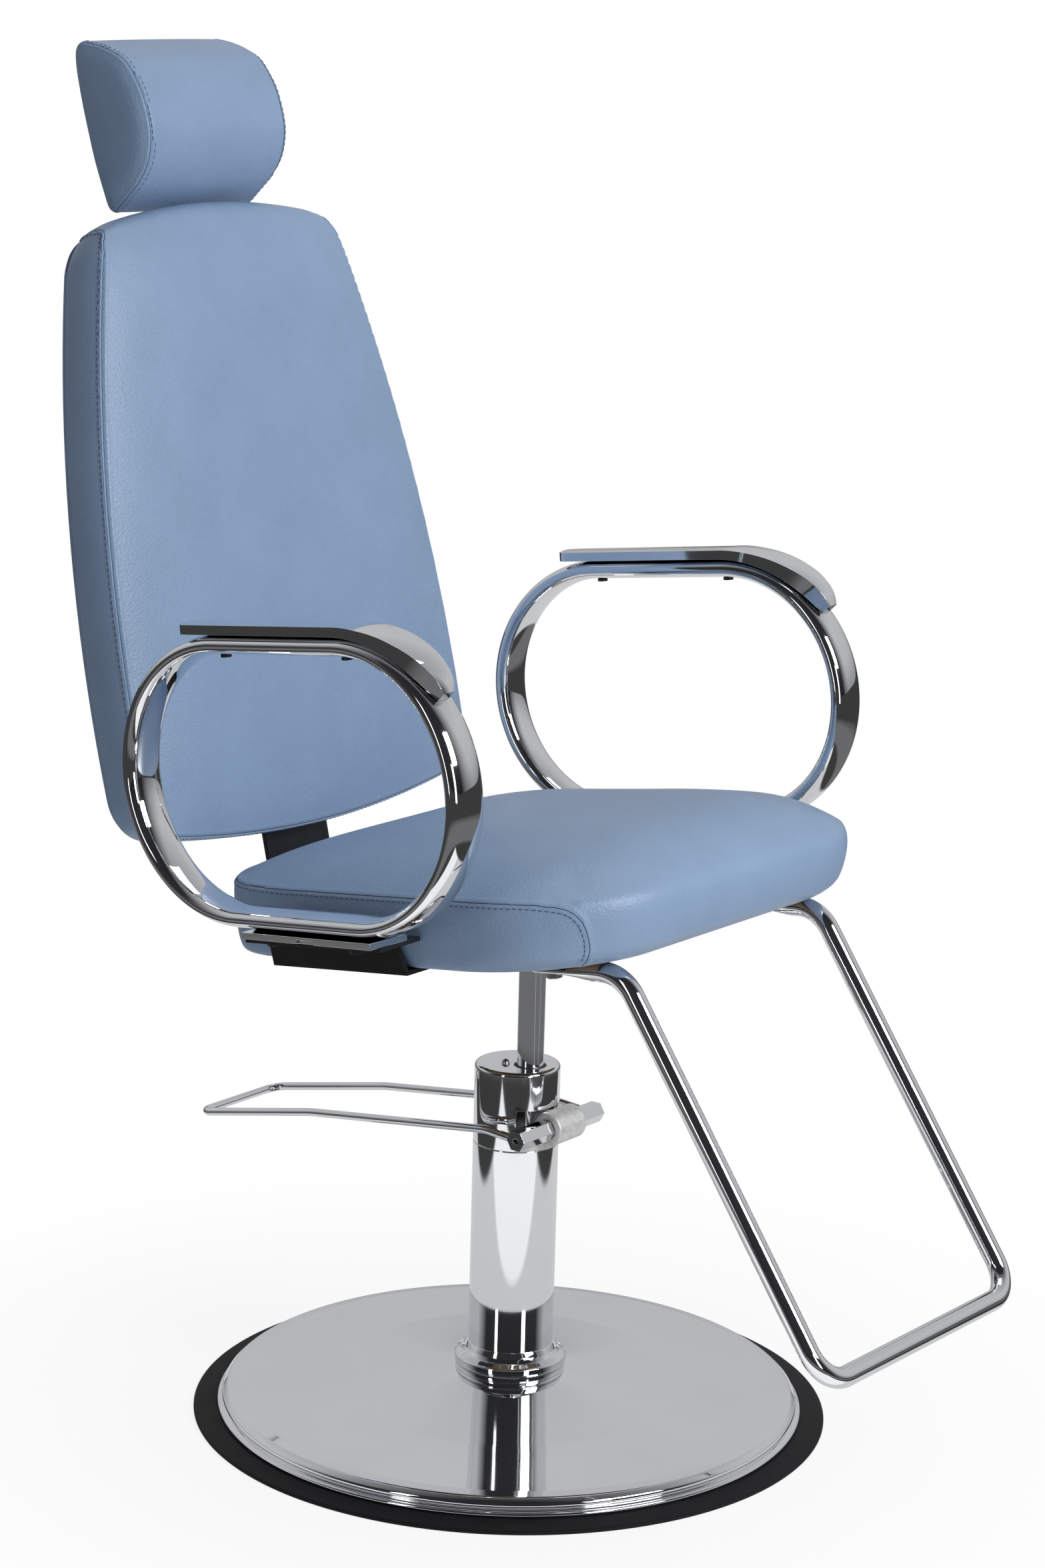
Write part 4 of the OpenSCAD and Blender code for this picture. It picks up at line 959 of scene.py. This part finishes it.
def base():
    ring = rounded(
        flat([(228, 0), (304.6, 0), (306, 1.3), (306, 3.1), (304.2, 4.2), (286, 6.5), (228, 6.5)]),
        [0, 0.6, 0.6, 0.8, 1.2, 0.8, 0], 3,
    )
    stand_in(lathe("floor_ring_body", ring, steps=256), "floor_ring")
    # The sheet's thickness is taken inwards at the beads and downwards everywhere else
    outer = base_profile()
    inner = [p - Vector((1.5, 0) if p.x > 275 else (0, 1.6)) for p in outer]
    stand_in(lathe("base_cover_body", outer + inner[::-1], steps=256), "base_cover")
    collar_r = 53.3
    bore = COLUMN_R + 0.05
    low = rounded(flat([(bore, 43.5), (collar_r, 43.5), (collar_r, 49.9), (bore, 49.9)]), [0, 0.5, 0.9, 0], 3)
    low = lathe("lower_collar_body", low)
    notch_cut(low, collar_r, 46.9, -38, 6.8)
    stand_in(low, "lower_collar")
    bore = COLUMN_R + 0.02
    high = rounded(
        flat([
            (bore, 50.1), (53.4, 50.1), (54.1, 51), (54.1, 56.2), (52.4, 57.6), (47.6, 60.2), (44.6, 64),
            (42.2, 69.4), (bore, 69.4),
        ]),
        [0, 0.8, 0.6, 1.2, 1.8, 4, 5, 0.6, 0], 4,
    )
    stand_in(lathe("upper_collar_body", high), "upper_collar")


def notch_cut(obj, radius, height, turn, width):
    """Small upright notch in a round wall, cut with a box. It faces turn degrees from the front."""
    bpy.ops.mesh.primitive_cube_add(size=1)
    box = bpy.context.object
    box.scale = (3 * MM, width * MM, 8 * MM)
    angle = math.radians(turn - 90)
    box.location = (radius * MM * math.cos(angle), radius * MM * math.sin(angle), height * MM)
    box.rotation_euler = (0, 0, angle)
    modify(obj, "BOOLEAN", operation="DIFFERENCE", object=box, solver="EXACT")
    bpy.data.objects.remove(box)
    shade(obj, 30)


def column():
    bore, foot, head = COLUMN_R - 3, 19.5, 271.9
    tube = flat([(bore, foot), (COLUMN_R, foot), (COLUMN_R, head), (bore, head)])
    tube = lathe("outer_cylinder_body", rounded(tube, [0, 0, 0.9, 0], 3))
    stand_in(tube, "outer_cylinder")
    soften("column_cap", 0.5, 2, 35)
    rod_r, foot, head = 12.95, 144, 479
    rod = rounded(flat([(0, foot), (rod_r, foot), (rod_r, head), (0, head)]), [0, 0.6, 1.0, 0], 3)
    place = Matrix.Translation((0, -ROD_OFFSET * MM, 0))
    stand_in(lathe("piston_rod_body", rod, place, 96), "piston_rod")
    soften("cap_screw", 0.3, 2, 40)


def pump():
    soften("pedal_bar", 0.9, 2, 25)
    soften("bar_hub", 0.5, 2, 25)
    soften("pump_block", 0.5, 2, 35)
    soften("pedal_crank", 0.8, 2, 35)
    # The lug is a casting, with soft edges all over
    lug = new_piece("pump_lug_body", NODES["pump_lug"].data.copy())
    clean(lug, 2e-6)
    modify(lug, "REMESH", mode="VOXEL", voxel_size=0.0008)
    modify(lug, "CORRECTIVE_SMOOTH", factor=0.5, iterations=14, smooth_type="SIMPLE", use_only_smooth=True)
    shade(lug, 70)
    stand_in(lug, "pump_lug")


def spring():
    """Coil under the plunger's head, which shortens towards its lower end as the plunger goes down."""
    thick, turns, steps = 1.4, 7, 24
    low, high = (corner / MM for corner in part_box("plunger_spring"))
    middle = (low + high) / 2
    radius = (high.x - low.x - thick) / 2
    rise = (high.z - low.z - thick) / (turns * steps)
    path = []
    for i in range(turns * steps + 1):
        turn = math.tau * i / steps
        out = Vector((radius * math.cos(turn), radius * math.sin(turn), 0))
        path.append(Vector((middle.x, middle.y, low.z + thick / 2 + rise * i)) + out)
    coil = sweep("plunger_spring_body", path, lambda i: circle(thick / 2, 12))
    stand_in(coil, "plunger_spring")
    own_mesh(coil)


def mirrored_path(half):
    """A path from its left half, given from its end to just before the middle."""
    return half + [Vector((-p.x, p.y, p.z)) for p in reversed(half)]


def pedal():
    half_wide, wire_r = 57, 4.0
    side = ((-44, 295), (-34, 295), (-8, 297), (210.6, 266.2), (356, 235))
    half = flat([(half_wide, y, z) for y, z in side])
    path = rounded(mirrored_path(half), [0, 30, 60, 200, 16, 16, 200, 60, 30, 0], 10, closed=False)
    obj = sweep("pedal_loop_body", path, lambda i: circle(wire_r, 24))
    stand_in(obj, "pedal_loop")


# ---------------------------------------------------------------- footrest


def footrest():
    """Bent tube, pressed flat at both ends where it is bolted to the seat."""
    half_wide, tube_r = 155, 9.5
    tab_long, tab_half_wide, tab_half_thick = 34, 13.0, 3.5
    side = ((-138, -11), (-232.6, -11), (-417.75, -362.2))
    half = flat([(half_wide, y, z) for y, z in side])
    path = rounded(mirrored_path(half), [0, 38, 32, 32, 38, 0], 18, closed=False)
    path = even(path, 3.0) + [path[-1]]
    run = [0.0]
    for a, b in zip(path, path[1:]):
        run.append(run[-1] + (b - a).length)

    def section(i):
        end = min(run[i], run[-1] - run[i])
        s = min(1.0, max(0.0, (end - tab_long) / tab_long))
        s = s * s * (3 - 2 * s)
        half_width = tab_half_wide + (tube_r - tab_half_wide) * s
        half_height = tab_half_thick + (tube_r - tab_half_thick) * s
        power = 2 / (0.55 + 0.45 * s)
        # The tab's end is rounded over its first 9 mm
        tip = min(1.0, 0.55 + 0.45 * math.sqrt(max(0.0, 1 - (1 - min(1.0, end / 9)) ** 2)))
        return oval(2 * half_width * tip, 2 * half_height, power, 40)

    obj = sweep("footrest_frame_body", path, section, SEAT)
    stand_in(obj, "footrest_frame")


# ---------------------------------------------------------------- armrests


def stadium(radius, half, steps=72):
    """Closed loop in the upright plane along the seat: two half rounds joined by straight stretches."""
    out = []
    for end in (1, -1):
        for k in range(steps + 1):
            turn = math.radians(-90 + 180 * k / steps)
            out.append(Vector((0, end * (half + radius * math.cos(turn)), end * radius * math.sin(turn))))
        for k in range(1, 10):
            out.append(Vector((0, end * half * (1 - k / 5), end * radius)))
    return out


def cap_outline(half, thick):
    """Section of the arm cap: flat below, and slightly crowned above."""
    crown_z = 1.2
    out = [(-half, 0), (half, 0), (half, thick - crown_z)]
    for k in range(1, 8):
        x = half * (1 - k / 4)
        out.append((x, thick - crown_z + crown_z * (1 - (x / half) ** 2)))
    return out + [(-half, thick - crown_z)]


def arm_cap(side, tag):
    """Paddle over the loop's top that follows the front bend down to a blunt beak."""
    floor = LOOP_R + LOOP_THICK / 2 + 0.2
    half_wide, thick = 22.0, 10.0
    rear, round_long, round_least = 115.5, 12, 10
    # Straight part, from its rounded rear end forwards: (y, half width)
    stations = []
    for k in range(9):
        turn = k / 8 * math.pi / 2
        stations.append((rear - round_long * (1 - math.cos(turn)), round_least + round_long * math.sin(turn)))
    stations += [(float(y), half_wide) for y in range(98, -75, -6)]
    # Round the bend: degrees, half width and thickness
    knots = np.array([
        (0, 22, 10), (14, 22, 11), (28, 19.8, 14), (40, 15.8, 17), (48, 11.8, 17), (52, 9.0, 14.5),
        (54.5, 6.5, 11),
    ])
    bend = []
    for degrees in np.arange(1.5, 54.6, 1.5):
        sizes = (float(np.interp(degrees, knots[:, 0], knots[:, column])) for column in (1, 2))
        bend.append((math.radians(float(degrees)), *sizes))
    for _ in range(3):
        middle = [
            (b[0], (a[1] + 2 * b[1] + c[1]) / 4, (a[2] + 2 * b[2] + c[2]) / 4)
            for a, b, c in zip(bend, bend[1:], bend[2:])
        ]
        bend = [bend[0], *middle, bend[-1]]
    points = []
    for y, half in stations:
        points += [(x, y, floor + z) for x, z in cap_outline(half, thick)]
    for turn, half, height in bend:
        for x, z in cap_outline(half, height):
            r = floor + z
            points.append((x, -LOOP_HALF - r * math.sin(turn), r * math.cos(turn)))
    m = len(cap_outline(half_wide, thick))
    faces = []
    for start in range(0, len(points) - m, m):
        for k in range(m):
            a = start + k
            b = start + (k + 1) % m
            faces.append((a, b, b + m, a + m))
    faces.append(tuple(range(m - 1, -1, -1)))
    faces.append(tuple(range(len(points) - m, len(points))))
    obj = new_mesh("arm_cap_" + tag + "_body", points, faces, arm_place(side))
    round_edges(obj, 2.2, 4, 38)
    stand_in(obj, "arm_cap_" + tag)


def arms():
    ring = oval(LOOP_WIDE, LOOP_THICK, 2.3)
    for side, tag in ((1, "left"), (-1, "right")):
        path = stadium(LOOP_R, LOOP_HALF)
        loop = sweep("arm_loop_" + tag + "_body", path, lambda i: ring, arm_place(side), closed=True)
        stand_in(loop, "arm_loop_" + tag)
        arm_cap(side, tag)
        soften("arm_plate_" + tag, 0.8, 3)
        soften("arm_bracket_" + tag, 1.2, 3)


# ---------------------------------------------------------------- frames, bolts and hidden parts


def plain_parts():
    """Rounds the edges of frames and bolts, and paints the CAD nodes that no piece stands for."""
    for node, width in (
        ("seat_frame", 0.8), ("seat_socket", 1.0), ("back_bracket", 1.0), ("headrest_guide", 0.8),
        ("headrest_bar", 0.8), ("cap_screws", 0.5), ("arm_bolts", 0.5), ("bracket_bolts", 0.5),
        ("footrest_bolts", 0.5), ("frame_bolts", 0.5), ("back_bolts", 0.5), ("socket_screws", 0.5),
    ):
        soften(node, width)
    for node, obj in NODES.items():
        if not obj.hide_render:
            paint(obj, SLOTS[node])


# ---------------------------------------------------------------- stage, lamps and camera


# Direction on the floor from the chair towards the side that the photo was taken from
FACING = (-0.793, -0.609, 0.0)
ASIDE = (-0.609, 0.793, 0.0)


def stage():
    """White floor; metal sees it as a lit sheet that ends within a metre of the column, in a dark room."""
    floor = bpy.data.materials.new("floor")
    net = Shader(floor)
    skin = net.nodes["Principled BSDF"]
    net.feed(skin, {"Base Color": (0.86, 0.86, 0.86, 1), "Roughness": 0.9})
    at = net.add("NewGeometry").outputs["Position"]
    path = net.add("LightPath").outputs
    ahead = net.along(at, FACING)
    aside = net.math("ABSOLUTE", net.along(at, ASIDE))
    far = net.add("VectorMath", {0: at}, operation="LENGTH").outputs["Value"]
    # The lit sheet ends 0.86 m ahead and 0.72 m aside, and is brighter in its outer half
    sheet = net.math("MULTIPLY", net.step(ahead, 0.88, 0.85), net.step(aside, 0.74, 0.70))
    bright = net.math("MULTIPLY_ADD", net.step(ahead, 0.40, 0.43), 0.37, 0.68)
    # The room is dark, with a paler band that begins past the sheet
    band = net.math("MULTIPLY", net.step(far, 1.12, 1.22), net.step(far, 2.6, 2.0))
    dim = net.math("MULTIPLY_ADD", band, 0.12, 0.05)
    mirrored = net.add("Mix", {0: sheet, 2: dim, 3: bright}).outputs[0]
    strength = net.add("Mix", {0: path["Is Camera Ray"], 2: mirrored, 3: 1.0}).outputs[0]
    glow = net.add("Emission", {"Strength": strength}).outputs[0]
    shown = net.math("MAXIMUM", path["Is Camera Ray"], path["Is Glossy Ray"])
    shown = net.math("MAXIMUM", shown, path["Is Transmission Ray"])
    # The shadow shows near the chair only
    plain = net.math("MULTIPLY_ADD", net.step(far, 0.34, 0.75), 0.12, 0.88)
    share = net.math("MULTIPLY", shown, plain)
    mix = net.add("MixShader", {"Fac": share, 1: skin.outputs[0], 2: glow}).outputs[0]
    net.feed(net.nodes["Material Output"], {"Surface": mix})
    bpy.ops.mesh.primitive_plane_add(size=160)
    ground = bpy.context.object
    ground.name = "studio_floor"
    ground.data.materials.append(floor)


def world():
    """Light grey wall behind the chair, dark room on the other side; white where it is seen directly."""
    sky = bpy.data.worlds.new("studio")
    bpy.context.scene.world = sky
    net = Shader(sky)
    where = net.add("TexCoord").outputs["Generated"]
    path = net.add("LightPath").outputs
    toward = net.math("MULTIPLY_ADD", net.along(where, FACING), 0.5, 0.5)
    walls = net.ramp(toward, (0.42, (0.55, 0.55, 0.56)), (0.66, (0.03, 0.03, 0.032))).outputs["Color"]
    tone = net.add("Mix", {0: path["Is Camera Ray"], 6: walls, 7: (1, 1, 1, 1)}, data_type="RGBA").outputs[2]
    # The wall lights the chair less than it shows in the metal
    level = net.math("MULTIPLY_ADD", path["Is Diffuse Ray"], -0.4, 1.0)
    # It is a little darker near the floor and overhead
    height = net.along(where, (0, 0, 1))
    rise = net.ramp(height, (0.02, (0.62, 0.62, 0.64)), (0.85, (0.75, 0.75, 0.75)))
    for position, grey in ((0.14, 0.86), (0.24, 1.0), (0.5, 1.06)):
        rise.color_ramp.elements.new(position).color = (grey, grey, grey, 1)
    level = net.math("MULTIPLY", level, rise.outputs["Color"])
    level = net.math("MAXIMUM", level, path["Is Camera Ray"])
    net.feed(net.nodes["Background"], {"Color": tone, "Strength": level})


def lamp(name, at, aim, width, height, power, mirrored=True):
    """Area lamp in watts that faces a place; metal doesn't show it if mirrored is False."""
    data = bpy.data.lights.new(name, "AREA")
    data.shape = "RECTANGLE"
    data.size = width
    data.size_y = height
    data.energy = power
    obj = bpy.data.objects.new(name, data)
    bpy.context.collection.objects.link(obj)
    obj.location = at
    obj.rotation_euler = (Vector(at) - Vector(aim)).to_track_quat("Z", "Y").to_euler()
    obj.visible_glossy = mirrored


def lamps():
    lamp("key", (0.0, -3.5, 2.6), (0, 0, 0.7), 1.5, 1.5, 112)
    lamp("top", (0.6, 0.2, 3.6), (0, 0, 0.5), 1.6, 1.6, 16)
    lamp("rim", (2.4, 2.4, 2.6), (0, 0, 0.8), 1.0, 1.4, 14, mirrored=False)
    # Narrow upright lights, seen as streaks in the round metal
    lamp("streak_left", (-3.3, 0.1, 1.2), (0, 0, 0.6), 0.42, 2.0, 8)
    lamp("streak_right", (-1.2, -3.6, 1.1), (0, 0, 0.5), 0.65, 1.6, 12)


def camera():
    """The photo's own view, solved from the base's ellipses and the upright column."""
    data = bpy.data.cameras.new("photo")
    data.lens = 86.93
    data.sensor_width = 36
    data.clip_end = 400
    obj = bpy.data.objects.new("photo", data)
    bpy.context.collection.objects.link(obj)
    yaw, pitch, roll = (math.radians(v) for v in (52.50, 12.96, 1.51))
    ahead = Vector((math.sin(yaw) * math.cos(pitch), math.cos(yaw) * math.cos(pitch), -math.sin(pitch)))
    right = Vector((math.cos(yaw), -math.sin(yaw), 0))
    up = right.cross(ahead)
    right, up = (
        right * math.cos(roll) + up * math.sin(roll),
        up * math.cos(roll) - right * math.sin(roll),
    )
    turn = Matrix((right, up, -ahead)).transposed().to_4x4()
    obj.matrix_world = Matrix.Translation((-2.7456, -2.1037, 1.4166)) @ turn
    bpy.context.scene.camera = obj


base()
column()
pump()
spring()
pedal()
footrest()
arms()
cushions()
plain_parts()
stage()
world()
lamps()
camera()

bpy.context.scene.view_settings.view_transform = "Standard"
